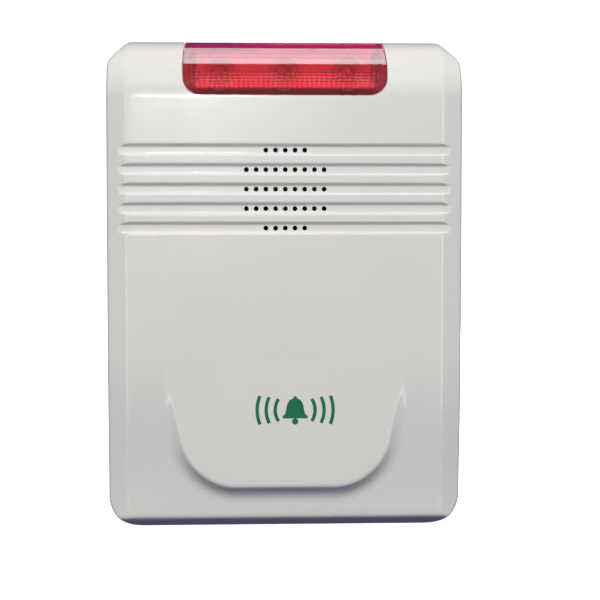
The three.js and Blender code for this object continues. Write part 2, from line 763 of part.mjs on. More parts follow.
const electronics = group();
place(electronics, "main_board", mainBoard(), "greenBoard");
placeEach(electronics, "board_screw", screw(1, 7, 2.3, 1.4), "zincScrew",
  boardScrewPlaces.map(([x, z]) => [x, board.front + board.thick + GAP, z]));
place(electronics, "mcu_chip", boxOnBoard(12, 1.8, 12), "blackPlastic", [-6, ON_BOARD, 54]);
place(electronics, "radio_module", radioModule(), "greenBoard", [24, ON_BOARD, 70]);
place(electronics, "antenna", antennaCoil(), "copperWire", [antenna.x, antenna.y, antenna.z]);
place(electronics, "capacitor_1", capacitor(5, 11.5), "capacitorSleeve", [-26, ON_BOARD, 44]);
place(electronics, "capacitor_2", capacitor(4, 9.5), "capacitorSleeve", [-26, ON_BOARD, 58]);
place(electronics, "battery_connector", connector(9), "connectorNylon", [-24, ON_BOARD, PLUG_Z]);
place(electronics, "speaker_connector", connector(9), "connectorNylon", [-8, ON_BOARD, PLUG_Z]);
place(electronics, "led_connector", connector(9), "connectorNylon", [6, ON_BOARD, PLUG_Z]);
place(electronics, "dc_jack", powerJack(), "blackPlastic", [0, jack.y, jack.z]);

const controls = group();
place(controls, "switch_body", switchBody(), "steel", [0, ON_BOARD, knob.z]);
place(controls, "volume_knob", volumeKnob(), "blackPlastic", [0, CONTROL_Y, knob.z]);
place(controls, "tact_switch", tactSwitch(), "blackPlastic", [0, ON_BOARD, button.z]);
place(controls, "tact_plunger", tactPlunger(), "blackPlastic", [0, CONTROL_Y, button.z]);
place(controls, "reset_button", resetButton(), "blackPlastic", [0, CONTROL_Y, button.z]);

// Cells stand side by side and turn about each other, so that plates at the two ends join them in series.
const power = group();
const LOW_PLATE = bay.low + GAP;
const HIGH_PLATE = bay.high - GAP;
const PLATE_TO_CELL = contact.thick + GAP;
const cellShape = cellBody();
cellPlaces.forEach((x, i) => {
  const nubUp = i % 2 === 0;
  const z = nubUp ? HIGH_PLATE - PLATE_TO_CELL - cell.length : LOW_PLATE + PLATE_TO_CELL + cell.length;
  const mesh = place(power, `battery_${i + 1}`, cellShape, "cellJacket", [x, CELL_Y, z]);
  if (!nubUp) mesh.rotation.x = Math.PI;
});
const [x1, x2, x3, x4] = cellPlaces;
const atLow = [0, 0, LOW_PLATE];
const atHigh = [0, 0, HIGH_PLATE];
place(power, "contact_low_left", contactPlate([x1, x2], [x1], true, false), "goldContact", atLow);
place(power, "contact_low_right", contactPlate([x3, x4], [x3], true, false), "goldContact", atLow);
place(power, "contact_high_link", contactPlate([x2, x3], [x2], false, false), "goldContact", atHigh);
place(power, "contact_plus", contactPlate([x1], [], false, true), "goldContact", atHigh);
place(power, "contact_minus", contactPlate([x4], [x4], false, true), "goldContact", atHigh);

// ---------------------------------------------------------------- leads inside the housing
const lead = { radius: 0.6, steps: 16 };

// A lead's last stretch: it bends over in front of its connector and goes straight back into it.
function intoPlug(x) {
  return [
    [x, ON_BOARD - 9, PLUG_Z + 3.6],
    [x, ON_BOARD - 8, PLUG_Z + 0.4],
    [x, ON_BOARD - 4, PLUG_Z],
  ];
}

function placeLead(name, finishName, points) {
  const curve = new THREE.CatmullRomCurve3(points.map((point) => new THREE.Vector3(...point)));
  place(leads, name, wireAlong(curve, lead.radius, lead.steps), finishName);
}

const leads = group();
const tabTop = bay.high + bay.wall + 2.4;
placeLead("battery_lead_plus", "wireRed", [
  [x1, CELL_Y - 1.4, tabTop],
  [x1, 4, tabTop + 2],
  [x1 - 2, -4, tabTop + 1],
  [-26.4, -10, 85],
  ...intoPlug(-26),
]);
placeLead("battery_lead_minus", "wireBlack", [
  [x4, CELL_Y - 1.4, tabTop],
  [x4 - 4, 4, tabTop + 1.6],
  [0, 3.4, tabTop + 1],
  [-16, -2, tabTop + 1],
  [-21, -10, 85],
  ...intoPlug(-22.4),
]);
placeLead("speaker_lead_plus", "wireRed", [[-12, -8.6, 90.4], [-12.6, -9.6, 86], ...intoPlug(-9.8)]);
placeLead("speaker_lead_minus", "wireBlack", [[-8, -8.6, 88.8], [-7.4, -9.8, 85], ...intoPlug(-6.4)]);
placeLead("led_lead_plus", "wireRed", [
  [20, -1.2, 141],
  [20, 3, 141],
  [22, 4.8, 136],
  [26, 3, 124],
  [27, 1, 108],
  [24, -6, 91],
  [10, -11, 84],
  ...intoPlug(4.4),
]);
placeLead("led_lead_minus", "wireBlack", [
  [16, -1.2, 141],
  [16, 3, 141],
  [18, 4.8, 136],
  [23, 4, 124],
  [24, 2.6, 108],
  [21, -5, 90],
  [13, -9, 84],
  ...intoPlug(7.6),
]);

export default siren;
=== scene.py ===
"""A white wall alarm siren with a red beacon over its top edge: the looks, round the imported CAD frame."""

import json
import math

import bmesh
import bpy
import numpy as np
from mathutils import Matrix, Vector


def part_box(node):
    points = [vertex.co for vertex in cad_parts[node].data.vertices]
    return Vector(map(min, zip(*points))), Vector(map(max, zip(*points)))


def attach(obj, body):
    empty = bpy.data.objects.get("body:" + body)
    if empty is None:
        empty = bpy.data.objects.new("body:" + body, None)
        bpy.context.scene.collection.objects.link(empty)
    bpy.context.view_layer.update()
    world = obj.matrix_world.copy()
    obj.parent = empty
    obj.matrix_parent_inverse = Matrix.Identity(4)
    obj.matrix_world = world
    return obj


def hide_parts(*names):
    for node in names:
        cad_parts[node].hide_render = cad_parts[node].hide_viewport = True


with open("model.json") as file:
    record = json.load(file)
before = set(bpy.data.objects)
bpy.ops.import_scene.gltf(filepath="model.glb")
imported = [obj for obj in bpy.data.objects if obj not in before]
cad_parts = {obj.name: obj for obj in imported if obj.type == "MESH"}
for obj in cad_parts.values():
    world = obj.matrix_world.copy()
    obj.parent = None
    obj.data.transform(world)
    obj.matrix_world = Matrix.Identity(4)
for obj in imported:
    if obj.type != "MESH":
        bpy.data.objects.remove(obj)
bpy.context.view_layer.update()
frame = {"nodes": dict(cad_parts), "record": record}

# ---- sizes, in millimetres
MM = 0.001


def box_mm(node):
    """Lowest and highest corner of a CAD node, in millimetres."""
    low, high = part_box(node)
    return np.array(low) / MM, np.array(high) / MM


def centre_mm(node):
    """The middle of a CAD node, in millimetres."""
    low, high = box_mm(node)
    return (low + high) / 2


cover_low, cover_high = box_mm("front_cover")
lens_low, lens_high = box_mm("beacon_lens")

HALF = cover_high[0]
HEIGHT = cover_high[2]
FRONT = cover_low[1] + 0.03  # the print on the front stands out by less than this
SPLIT = cover_high[1]
BACK = box_mm("rear_cover")[1][1]
WALL = 2.0
CREASE = 49.0  # half the width of the flat front
SIDE_SLOPE = 2.2 / 6.0  # fall of the side bevels
FOOT = 3.0  # height of the foot bevel
FOOT_SLOPE = 1.5  # fall of the foot bevel
ROLL = 18.0  # radius of the roll from the front over to the top
ROLL_Z = HEIGHT - ROLL
TOP_CUT = 6.5  # height of the cut at the top corners
CUT_SOFT = 0.6  # rounding of the cut's lower end
CUT_SLOPE = 0.985
FOOT_CORNER = 9.8  # radius of the foot corners
BACK_EDGE = 1.4  # rounding of the back's outer edge
CREASE_SOFT = 0.35  # how far a crease's rounding reaches
EDGE_RADIUS = 0.8  # rounding of the front's outer edge

GROOVE_PITCH = 6.0
GROOVE_LOW = 93.7  # height of the lowest groove and its row of holes
GROOVE_HALF = 2.1  # half the width of a groove
GROOVE_DEEP = 0.78
GROOVES = 5
HOLE_PITCH = 3.0
HOLE_RADIUS = 0.75
HOLES_PER_ROW = (5, 9, 9, 9, 5)

TONGUE_FOOT = 13.1  # height of the tongue's lower edge
TONGUE_SIDE = 32.7  # half the tongue's width where TONGUE_SIDE_Z says
TONGUE_SIDE_Z = 29.0
TONGUE_FLARE = 0.2  # how fast the tongue widens upwards
TONGUE_CORNER = 14.0
VALLEY_DEEP = 3.7
VALLEY_FOOT, VALLEY_TOP = 2.0, 54.0  # the valley is deepest below the first and ends at the second
VALLEY_WALL = 6.0  # how far the tongue's wall takes to reach the valley's floor
VALLEY_STEEP = 2.7  # how steeply it starts

LENS_HALF = 31.3
LENS_HALF_TOP = 30.7
LENS_SWELL = 0.12  # how far the sides swell, up to LENS_SWELL_Z
LENS_SWELL_Z = 144.0
LENS_FOOT = lens_low[2]
LENS_CORNER = 5.2
LENS_BACK = lens_high[1]
LENS_WALL = 1.7
LENS_GAP = 0.28
PRISM_WIDE, PRISM_TALL, PRISM_DEEP = 1.5, 0.92, 0.42
PRISM_LOW, PRISM_HIGH = 136.2, 141.8  # the zone of the prisms

SCREW_POST = 3.4  # radius of the front cover's screw posts
SCREW_PILOT = 1.5  # radius of the hole in a post
SCREW_TUBE = 4.6  # radius of the rear cover's screw tubes
SCREW_WAY = 1.7  # radius of the hole through a tube's seat
HEAD_WAY = 3.2  # radius of the way for a screw's head
SEAT_Y = 10.0  # where the screw heads rest


# ---- mesh helpers
def mesh_object(name, vertices_mm, faces, smooth_deg=35.0):
    """A mesh object from points in millimetres, shaded smooth below an angle."""
    mesh = bpy.data.meshes.new(name)
    mesh.from_pydata([tuple(np.asarray(v) * MM) for v in vertices_mm], [], faces)
    mesh.validate()
    made = bpy.data.objects.new(name, mesh)
    bpy.context.scene.collection.objects.link(made)
    if smooth_deg:
        shade_smooth(made, smooth_deg)
    return made


def shade_smooth(piece, degrees):
    """Smooth faces with sharp edges above the angle."""
    mesh = piece.data
    mesh.polygons.foreach_set("use_smooth", [True] * len(mesh.polygons))
    mesh.set_sharp_from_angle(angle=math.radians(degrees))


def apply_modifiers(piece):
    """Bakes a piece's modifiers into its mesh."""
    graph = bpy.context.evaluated_depsgraph_get()
    baked = bpy.data.meshes.new_from_object(piece.evaluated_get(graph))
    old = piece.data
    piece.modifiers.clear()
    piece.data = baked
    bpy.data.meshes.remove(old)
    return piece


def boolean(piece, others, operation="DIFFERENCE"):
    """Cuts with, or joins, other closed meshes and removes them."""
    for other in others:
        modifier = piece.modifiers.new("boolean", "BOOLEAN")
        modifier.operation = operation
        modifier.solver = "MANIFOLD"
        modifier.object = other
    apply_modifiers(piece)
    for other in others:
        bpy.data.objects.remove(other)
    return piece


def joined(pieces, name=None):
    """Joins objects that don't touch into the first one."""
    first = pieces[0]
    whole = bmesh.new()
    for piece in pieces:
        whole.from_mesh(piece.data)
    whole.to_mesh(first.data)
    whole.free()
    for piece in pieces[1:]:
        bpy.data.objects.remove(piece)
    if name:
        first.name = name
    return first


def loft(name, rings, caps=True, smooth_deg=35.0, closed=False):
    """Skin through rings with the same number of points; the rings run so that faces look outwards."""
    count = len(rings[0])
    points = [p for ring in rings for p in ring]
    faces = []
    last = len(rings) if closed else len(rings) - 1
    for i in range(last):
        a, b = i * count, ((i + 1) % len(rings)) * count
        for k in range(count):
            j = (k + 1) % count
            faces.append((a + k, a + j, b + j, b + k))
    if caps and not closed:
        faces.append(tuple(reversed(range(count))))
        faces.append(tuple(range((len(rings) - 1) * count, len(rings) * count)))
    return mesh_object(name, points, faces, smooth_deg)


def turned(name, profile, axis="Y", sides=48, centre=(0, 0, 0), smooth_deg=35.0):
    """A solid turned about an axis, from (radius, along) points that start and end on it, or that close."""
    rings = []
    for radius, along in profile:
        ring = []
        for k in range(sides):
            angle = 2 * math.pi * k / sides
            a, b = radius * math.cos(angle), radius * math.sin(angle)
            point = {"Y": (a, along, -b), "X": (along, a, b), "Z": (a, b, along)}[axis]
            ring.append(np.array(point) + centre)
        rings.append(ring)
    on_axis = profile[0][0] < 1e-6 and profile[-1][0] < 1e-6
    piece = loft(name, rings, caps=False, smooth_deg=None, closed=not on_axis)
    return outward(piece, smooth_deg, merge=True)


def rod(axis, radius, start, end, centre, sides=32, name="rod"):
    """A plain round bar, used as a cutter or joined to a bigger piece."""
    return turned(name, [(0, start), (radius, start), (radius, end), (0, end)], axis, sides, centre)


def prism(name, outline, y0, y1, smooth_deg=35.0):
    """An outline of (x, z) points, anticlockwise as seen from the front, made thick along Y."""
    rings = [[(x, y, z) for x, z in outline] for y in (y0, y1)]
    piece = loft(name, rings, smooth_deg=None)
    return outward(piece, smooth_deg)


def outward(piece, smooth_deg=35.0, merge=False):
    """Turns all faces outwards, after merging points that coincide where asked."""
    mesh = bmesh.new()
    mesh.from_mesh(piece.data)
    if merge:
        bmesh.ops.remove_doubles(mesh, verts=mesh.verts, dist=1e-7)
    bmesh.ops.recalc_face_normals(mesh, faces=mesh.faces)
    mesh.to_mesh(piece.data)
    mesh.free()
    if smooth_deg:
        shade_smooth(piece, smooth_deg)
    return piece


def block(low, high, name="block", bevel=0.0, segments=2):
    """A box between two corners, with rounded edges where a bevel is given."""
    (x0, y0, z0), (x1, y1, z1) = low, high
    corners = [(x0, y0), (x1, y0), (x1, y1), (x0, y1)]
    piece = loft(name, [[(x, y, z) for x, y in corners] for z in (z0, z1)], smooth_deg=None)
    if bevel:
        soften(piece, bevel, segments)
        apply_modifiers(piece)
        shade_smooth(piece, 35)
    return piece


def soften(piece, width_mm, segments=2, angle_deg=30.0):
    """Rounds the edges of a piece with a bevel modifier, which keeps its mesh."""
    bevel = piece.modifiers.new("soft_edges", "BEVEL")
    bevel.width = width_mm * MM
    bevel.segments = segments
    bevel.limit_method = "ANGLE"
    bevel.angle_limit = math.radians(angle_deg)
    bevel.harden_normals = False
    bevel.use_clamp_overlap = True
    return piece


def arc(cx, cz, radius, start_deg, end_deg, steps):
    """Points on an arc, both ends included."""
    angles = np.radians(np.linspace(start_deg, end_deg, steps + 1))
    return [(cx + radius * math.cos(a), cz + radius * math.sin(a)) for a in angles]


def graded(stops, end):
    """Positions from a list of (start, step), up to the end."""
    values = []
    for (start, step), following in zip(stops, [stop[0] for stop in stops[1:]] + [end]):
        count = max(1, round((following - start) / step))
        values += list(np.linspace(start, following, count, endpoint=False))
    return np.array(values + [end])


# ---- the housing's form
def softplus(value, reach):
    """Zero below 0 and the value above it, with a rounded corner."""
    return 0.5 * (value + np.sqrt(value * value + 4 * reach * reach))


def smoothstep(low, high, value):
    """A soft step from 0 at low to 1 at high."""
    t = np.clip((value - low) / (high - low), 0.0, 1.0)
    return t * t * (3 - 2 * t)


def outline_half(z, inset=0.0):
    """Half the housing's width at a height: round foot corners and cut top corners."""
    side = HALF - inset
    corner = FOOT_CORNER - inset
    half = np.full_like(z, side, dtype=float)
    low = np.clip(inset + corner - z, 0, corner)
    half = half - (corner - np.sqrt(np.maximum(corner * corner - low * low, 0)))
    cut = TOP_CUT - inset * (2 - math.sqrt(2))
    return half - softplus(z - (HEIGHT - inset - cut), CUT_SOFT) * CUT_SLOPE


def outside_tongue(x, z):
    """Distance outside the raised tongue, in millimetres, negative on it."""
    side = np.abs(x) - (TONGUE_SIDE + (z - TONGUE_SIDE_Z) * TONGUE_FLARE)
    foot = TONGUE_FOOT - z
    a, b = side + TONGUE_CORNER, foot + TONGUE_CORNER
    return np.minimum(np.maximum(a, b), 0) + np.hypot(np.maximum(a, 0), np.maximum(b, 0)) - TONGUE_CORNER


def valley(x, z):
    """How far the valley round the tongue falls back."""
    out = outside_tongue(x, z)
    share = np.clip(softplus(out, 0.22) / VALLEY_WALL, 0, 1)
    wall = 1 - (1 - share) ** VALLEY_STEEP
    fade = 1 - smoothstep(VALLEY_FOOT, VALLEY_TOP, z)
    return VALLEY_DEEP * wall * fade


def groove_depth(z):
    """Depth of the five straight grooves: a rounded upper wall, a flat floor and a sharp lower lip."""
    row = np.clip(np.round((z - GROOVE_LOW) / GROOVE_PITCH), 0, GROOVES - 1)
    t = (z - GROOVE_LOW - row * GROOVE_PITCH) / GROOVE_HALF
    low_wall = smoothstep(-0.84, -0.54, t)
    high_wall = 1 - smoothstep(0.42, 1.0, t)
    return GROOVE_DEEP * low_wall * high_wall


def edge_fillet(x, z, inset):
    """Extra fall that rounds the front's outer edge into the side walls."""
    distance = outline_half(z, inset) - np.abs(x)
    near = np.clip(EDGE_RADIUS - distance, 0, EDGE_RADIUS)
    return EDGE_RADIUS - np.sqrt(np.maximum(EDGE_RADIUS ** 2 - near ** 2, 0))


def front_y(x, z, inset=0.0, detail=True):
    """Where the front, the roll and the top lie along Y, in from the outer surface by inset."""
    side_fall = SIDE_SLOPE * softplus(np.abs(x) - CREASE, CREASE_SOFT)
    foot_fall = FOOT_SLOPE * softplus(FOOT - z, CREASE_SOFT)
    fall = np.hypot(side_fall, foot_fall) + inset
    radius = ROLL - fall
    up = np.clip(z - ROLL_Z, 0, None)
    rolled = FRONT + ROLL - np.sqrt(np.maximum(radius * radius - up * up, 0))
    y = np.where(z > ROLL_Z, rolled, FRONT + fall)
    y = y + valley(x, z)
    if detail:
        grooved = FRONT + groove_depth(z)
        y = np.where(z < ROLL_Z, np.maximum(y, grooved), y)
        y = y + edge_fillet(x, z, inset)
    return y


def form_rows(inset, fine):
    """Heights of the grid's rows, closer together where the form turns."""
    if fine:
        straight = graded([(inset, 0.2), (4, 0.32), (30, 0.8), (66, 2.6), (91.2, 0.3), (120.4, 1.3)], ROLL_Z)
        turns = np.radians(np.linspace(0, 90, 37))[1:]
    else:
        straight = graded([(inset, 1.0), (17, 2.5), (66, 8.0)], ROLL_Z)
        turns = np.radians(np.linspace(0, 90, 16))[1:]
    return np.concatenate([straight, ROLL_Z + (ROLL - inset) * np.sin(turns)])


def form_columns(half, fine):
    """Places across, symmetrical, as shares of the way to the edge outside the inner part."""
    if fine:
        right = graded([(0, 2.0), (12, 0.36), (38, 0.9), (47.6, 0.2), (50.4, 0.8), (53.6, 0.25)], half)
    else:
        right = graded([(0, 4.0), (26, 2.0), (44, 1.5)], half)
    return np.concatenate([-right[:0:-1], right])


def skin_to_back(name, x, y, z, back):
    """A closed solid between a grid of points on a front surface and the plane y = back."""
    n_rows, n_cols = x.shape
    points = list(zip(x.ravel(), y.ravel(), z.ravel()))
    faces = [
        (i * n_cols + j, i * n_cols + j + 1, (i + 1) * n_cols + j + 1, (i + 1) * n_cols + j)
        for i in range(n_rows - 1)
        for j in range(n_cols - 1)
    ]
    rim = (
        [(0, j) for j in range(n_cols)]
        + [(i, n_cols - 1) for i in range(1, n_rows)]
        + [(n_rows - 1, j) for j in range(n_cols - 2, -1, -1)]
        + [(i, 0) for i in range(n_rows - 2, 0, -1)]
    )
    first = len(points)
    points += [(x[i, j], back, z[i, j]) for i, j in rim]
    for k, (i, j) in enumerate(rim):
        following = (k + 1) % len(rim)
        i2, j2 = rim[following]
        faces.append((i2 * n_cols + j2, i * n_cols + j, first + k, first + following))
    faces.append(tuple(range(first + len(rim) - 1, first - 1, -1)))
    return outward(mesh_object(name, points, faces, None), 30)


def housing_form(name, inset, back, fine=True):
    """The closed solid between the front surface, in by inset, and the plane y = back."""
    inner = 40.0  # columns keep their place inside this, and follow the outline outside it
    side = HALF - inset
    rows = form_rows(inset, fine)
    columns = form_columns(side, fine)
    half = outline_half(rows, inset)[:, None]
    size = np.abs(columns)[None, :]
    spread = inner + (size - inner) * (half - inner) / (side - inner)
    x = np.sign(columns)[None, :] * np.where(size > inner, spread, size)
    z = np.repeat(rows[:, None], len(columns), 1)
    y = np.minimum(front_y(x, z, inset, fine), back - 0.5)
    return skin_to_back(name, x, y, z, back)


def lens_outline(grow):
    """The beacon's window on the front, anticlockwise, open past the top."""
    side, foot, corner = LENS_HALF + grow, LENS_FOOT - grow, LENS_CORNER + grow
    top = HEIGHT + 2
    barrel = [(side + LENS_SWELL, LENS_SWELL_Z)]
    right = arc(side - corner, foot + corner, corner, -90, 0, 12) + barrel
    right.append((LENS_HALF_TOP + grow, top))
    left = [(-x, z) for x, z in reversed(right)]
    return right + left


def outline_ring(inset, y):
    """The housing's outline at one depth, anticlockwise as seen from the front."""
    turns = np.linspace(0, math.pi / 2, 14)
    corner = FOOT_CORNER - inset
    straight_end = HEIGHT - inset - TOP_CUT - 4
    low = inset + corner * (1 - np.cos(turns))
    rows = np.concatenate([low, [60.0, 100.0], np.linspace(straight_end, HEIGHT - inset, 14)])
    half = outline_half(rows, inset)
    right = [(h, y, z) for h, z in zip(half, rows)]
    return right + [(-x, y, z) for x, y, z in reversed(right)]


def outline_slab(name, stages):
    """A solid through the housing's outline at several (inset, depth) stages."""
    return outward(loft(name, [outline_ring(inset, y) for inset, y in stages], smooth_deg=None), 30)


def add_trim(piece, material, body="housing"):
    """Makes an extra piece move with a body."""
    set_material(piece, material)
    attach(piece, body)
    return piece


def stand_for(piece, node, material, body="housing"):
    """Makes a piece take the place of a CAD node."""
    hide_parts(node)
    return add_trim(piece, material, body)


# ---- covers
def screw_places():
    """Centres (x, z) of the four case screws."""
    centres = [centre_mm(f"case_screw_{i}") for i in (1, 2, 3, 4)]
    return [(centre[0], centre[2]) for centre in centres]


def lens_seat():
    """A thin white frame that the back of the lens rests on, hanging from the top wall."""
    y0, y1 = LENS_BACK + LENS_GAP, LENS_BACK + 0.6
    outside, inside = 33.0, 29.0
    low, high = 133.6, 136.4
    left = block((-outside, y0, low), (-inside, y1, HEIGHT - 1))
    right = block((inside, y0, low), (outside, y1, HEIGHT - 1))
    foot = block((-outside, y0, low), (outside, y1, high))
    return boolean(left, [right, foot], "UNION")


def sound_holes():
    """Cutters for the rows of holes, one row in each groove."""
    holes = []
    for row, count in enumerate(HOLES_PER_ROW):
        z = GROOVE_LOW + row * GROOVE_PITCH
        for k in range(count):
            x = (k - (count - 1) / 2) * HOLE_PITCH
            holes.append(rod("Y", HOLE_RADIUS, FRONT - 1, FRONT + 2 * WALL, (x, 0, z), 20))
    return joined(holes)


def control_holes():
    """Cutters for the volume slot and the reset button on the right side, and the jack on the left."""
    slot_wide, slot_tall = 3.8, 10.2
    y, z = centre_mm("volume_knob")[1:]
    slot = block((HALF - 4, y - slot_wide / 2, z - slot_tall / 2),
                 (HALF + 1, y + slot_wide / 2, z + slot_tall / 2), bevel=0.5)
    button_at = (0, *centre_mm("reset_button")[1:])
    jack_at = (0, *centre_mm("dc_jack")[1:])
    button_radius, jack_radius = 3.0, 3.95
    return [
        slot,
        rod("X", button_radius, HALF - 4, HALF + 1, button_at, 48),
        rod("X", jack_radius, -HALF - 1, -HALF + 4, jack_at, 48),
    ]


def make_front_cover():
    """The white shell, with its screw posts, the beacon's window and all its holes."""
    cover = housing_form("front_cover_shell", 0.0, SPLIT)
    room = housing_form("room", WALL, SPLIT + 3, fine=False)
    boolean(cover, [room])
    posts = []
    for x, z in screw_places():
        start = FRONT + (3.7 if z < HEIGHT / 2 else 1.5)  # behind the skin, which lies deeper in the valley
        posts.append(rod("Y", SCREW_POST, start, SPLIT - 0.4, (x, 0, z)))
    boolean(cover, posts, "UNION")
    boolean(cover, [rod("Y", SCREW_PILOT, -9, SPLIT + 1, (x, 0, z)) for x, z in screw_places()])
    window = prism("window", lens_outline(LENS_GAP), FRONT - 2, LENS_BACK + LENS_GAP)
    boolean(cover, [window])
    boolean(cover, [lens_seat()], "UNION")
    boolean(cover, [sound_holes()])
    boolean(cover, control_holes())
    shade_smooth(cover, 30)
    return cover


BAY_HALF, BAY_LOW, BAY_HIGH, BAY_FRONT = 30.6, 27.4, 86.6, 2.0  # the battery bay's inside
BAY_MIDDLE = (BAY_LOW + BAY_HIGH) / 2
BAY_WALL = 1.4
HINGE_Y, HINGE_Z, HINGE_RADIUS, HINGE_PIN, HINGE_CLEAR = 17.4, 24.3, 1.5, 0.8, 0.4
CELL_Y = 9.45
CELL_X = (-22.5, -7.5, 7.5, 22.5)
CELL_RADIUS = 7.15
KEYHOLE_X, KEYHOLE_Z, KEYHOLE_HEAD, KEYHOLE_NECK, KEYHOLE_RISE = 30.0, 116.0, 4.2, 2.3, 8.0
LATCH_HALF, LATCH_TALL = 6.0, 2.9


def keyhole_cutter(x):
    """A round head with a narrower neck above it."""
    neck = KEYHOLE_NECK
    start = math.degrees(math.asin(neck / KEYHOLE_HEAD))
    head = arc(0, 0, KEYHOLE_HEAD, 90 + start, 450 - start, 36)
    top = arc(0, KEYHOLE_RISE, neck, 0, 180, 16)
    outline = [(x + a, KEYHOLE_Z + b) for a, b in head + top]
    return prism("keyhole", outline, BACK - WALL - 1, BACK + 1)


def rear_shell():
    """The rear cover before its holes: shell, lip, battery box and screw tubes."""
    inner = BACK - WALL
    bends = np.radians(np.linspace(0, 90, 7))
    edge = [(BACK_EDGE * (1 - math.cos(a)), BACK - BACK_EDGE * (1 - math.sin(a))) for a in bends]
    shell = outline_slab("rear_cover_shell", [(0.35, SPLIT + 0.3), (0.0, SPLIT + 0.65)] + edge)
    room = outline_slab("room", [(WALL, SPLIT - 1), (WALL, inner)])
    boolean(shell, [room])
    lip = outline_slab("lip", [(2.4, SPLIT - 1.7), (2.4, SPLIT + 1.3)])
    lip_room = outline_slab("lip_room", [(3.4, SPLIT - 2.7), (3.4, SPLIT + 2.3)])
    boolean(lip, [lip_room] + [rod("Y", 4.0, 0, BACK, (x, 0, z)) for x, z in screw_places()])
    seat = outline_slab("seat", [(1.5, SPLIT + 0.3), (1.5, SPLIT + 1.3)])
    boolean(seat, [outline_slab("seat_room", [(3.4, SPLIT - 0.7), (3.4, SPLIT + 2.3)])])
    reach = BAY_HALF + BAY_WALL
    barrel = HINGE_RADIUS + HINGE_CLEAR
    bay_box = block((-reach, BAY_FRONT - BAY_WALL, BAY_LOW - BAY_WALL),
                    (reach, inner + 1, BAY_HIGH + BAY_WALL))
    hinge_box = block((-reach, HINGE_Y - barrel - BAY_WALL, HINGE_Z - barrel - BAY_WALL),
                      (reach, inner + 1, BAY_LOW))
    tubes = [rod("Y", SCREW_TUBE, SPLIT + 0.3, inner + 1, (x, 0, z), 40) for x, z in screw_places()]
    return boolean(shell, [lip, seat, bay_box, hinge_box] + tubes, "UNION")


def make_rear_cover():
    """The rear shell with its bay, latch slot, hinge bores, screw ways, contact slots and keyholes."""
    shell = rear_shell()
    inner = BACK - WALL
    barrel = HINGE_RADIUS + HINGE_CLEAR
    cutters = [
        block((-BAY_HALF, BAY_FRONT, BAY_LOW), (BAY_HALF, BACK + 1, BAY_HIGH)),
        block((-BAY_HALF, HINGE_Y - barrel, HINGE_Z - barrel), (BAY_HALF, BACK + 1, BAY_LOW + 1)),
        block((-LATCH_HALF, inner - WALL, BAY_HIGH - 1), (LATCH_HALF, BACK + 1, BAY_HIGH + LATCH_TALL + 0.3)),
        rod("X", HINGE_PIN + HINGE_CLEAR, -BAY_HALF - 1.2, BAY_HALF + 1.2, (0, HINGE_Y, HINGE_Z), 24),
    ]
    for x, z in screw_places():
        cutters.append(rod("Y", SCREW_WAY, 0, BACK, (x, 0, z)))
        head_way = [(0, SEAT_Y), (HEAD_WAY, SEAT_Y), (HEAD_WAY, BACK - 0.5), (HEAD_WAY + 1, BACK + 0.5),
                    (0, BACK + 0.5)]
        cutters.append(turned("head_way", head_way, "Y", 40, (x, 0, z)))
    for x in (CELL_X[0], CELL_X[3]):
        cutters.append(block((x - 2, CELL_Y - 1, BAY_HIGH - 1), (x + 2, CELL_Y + 1, BAY_HIGH + BAY_WALL + 1)))
    cutters += [keyhole_cutter(-KEYHOLE_X), keyhole_cutter(KEYHOLE_X)]
    boolean(shell, cutters)
    soften(shell, 0.22, 2, 50)
    shade_smooth(shell, 40)
    return shell


def make_door():
    """The battery door: a plate on a barrel with pins, a latch tongue, finger grooves and stiffening ribs."""
    half = BAY_HALF - HINGE_CLEAR
    outer, inner = BACK - 0.2, BACK - WALL
    plate = block((-half, inner, HINGE_Z), (half, outer, BAY_HIGH - HINGE_CLEAR), "battery_door_panel")
    parts = [
        rod("X", HINGE_RADIUS, -half, half, (0, HINGE_Y, HINGE_Z), 32),
        rod("X", HINGE_PIN, -BAY_HALF - 1, BAY_HALF + 1, (0, HINGE_Y, HINGE_Z), 24),
        block((HINGE_CLEAR - LATCH_HALF, inner, BAY_HIGH - 1),
              (LATCH_HALF - HINGE_CLEAR, outer, BAY_HIGH + LATCH_TALL - HINGE_CLEAR)),
    ]
    parts += [block((s * 15 - 0.6, inner - 0.8, 36), (s * 15 + 0.6, inner + 0.3, 78)) for s in (-1, 1)]
    boolean(plate, parts, "UNION")
    grooves = []
    for k in range(5):
        half_groove = 8.0 - 0.9 * k
        grooves.append(rod("X", 0.7, -half_groove, half_groove, (0, outer + 0.35, 83.4 - 1.9 * k), 16))
    boolean(plate, [joined(grooves)])
    soften(plate, 0.3, 3, 40)
    shade_smooth(plate, 40)
    return plate


# ---- the printed mark: a bell between sound arcs
MARK_X, MARK_Z = 3.0, 37.3
MARK_THICK = 0.025


def arc_band(radius, half_angle, width, side):
    """The outline of a short curved stroke round the mark's middle, to the right or the left."""
    outer = arc(0, 0, radius + width / 2, -half_angle, half_angle, 20)
    inner = arc(0, 0, radius - width / 2, half_angle, -half_angle, 20)
    outline = outer + inner
    return outline if side > 0 else [(-a, b) for a, b in reversed(outline)]


def bell_outline():
    """A bell's outline: crown, flaring sides and a straight lip."""
    side = [(3.9, -2.6), (3.9, -1.9), (3.1, -1.2), (2.75, 0.2), (2.55, 1.6), (1.9, 2.9), (0.9, 3.55)]
    crown = arc(0, 3.7, 0.62, -10, 190, 12)
    return side + crown + [(-a, b) for a, b in reversed(side)]


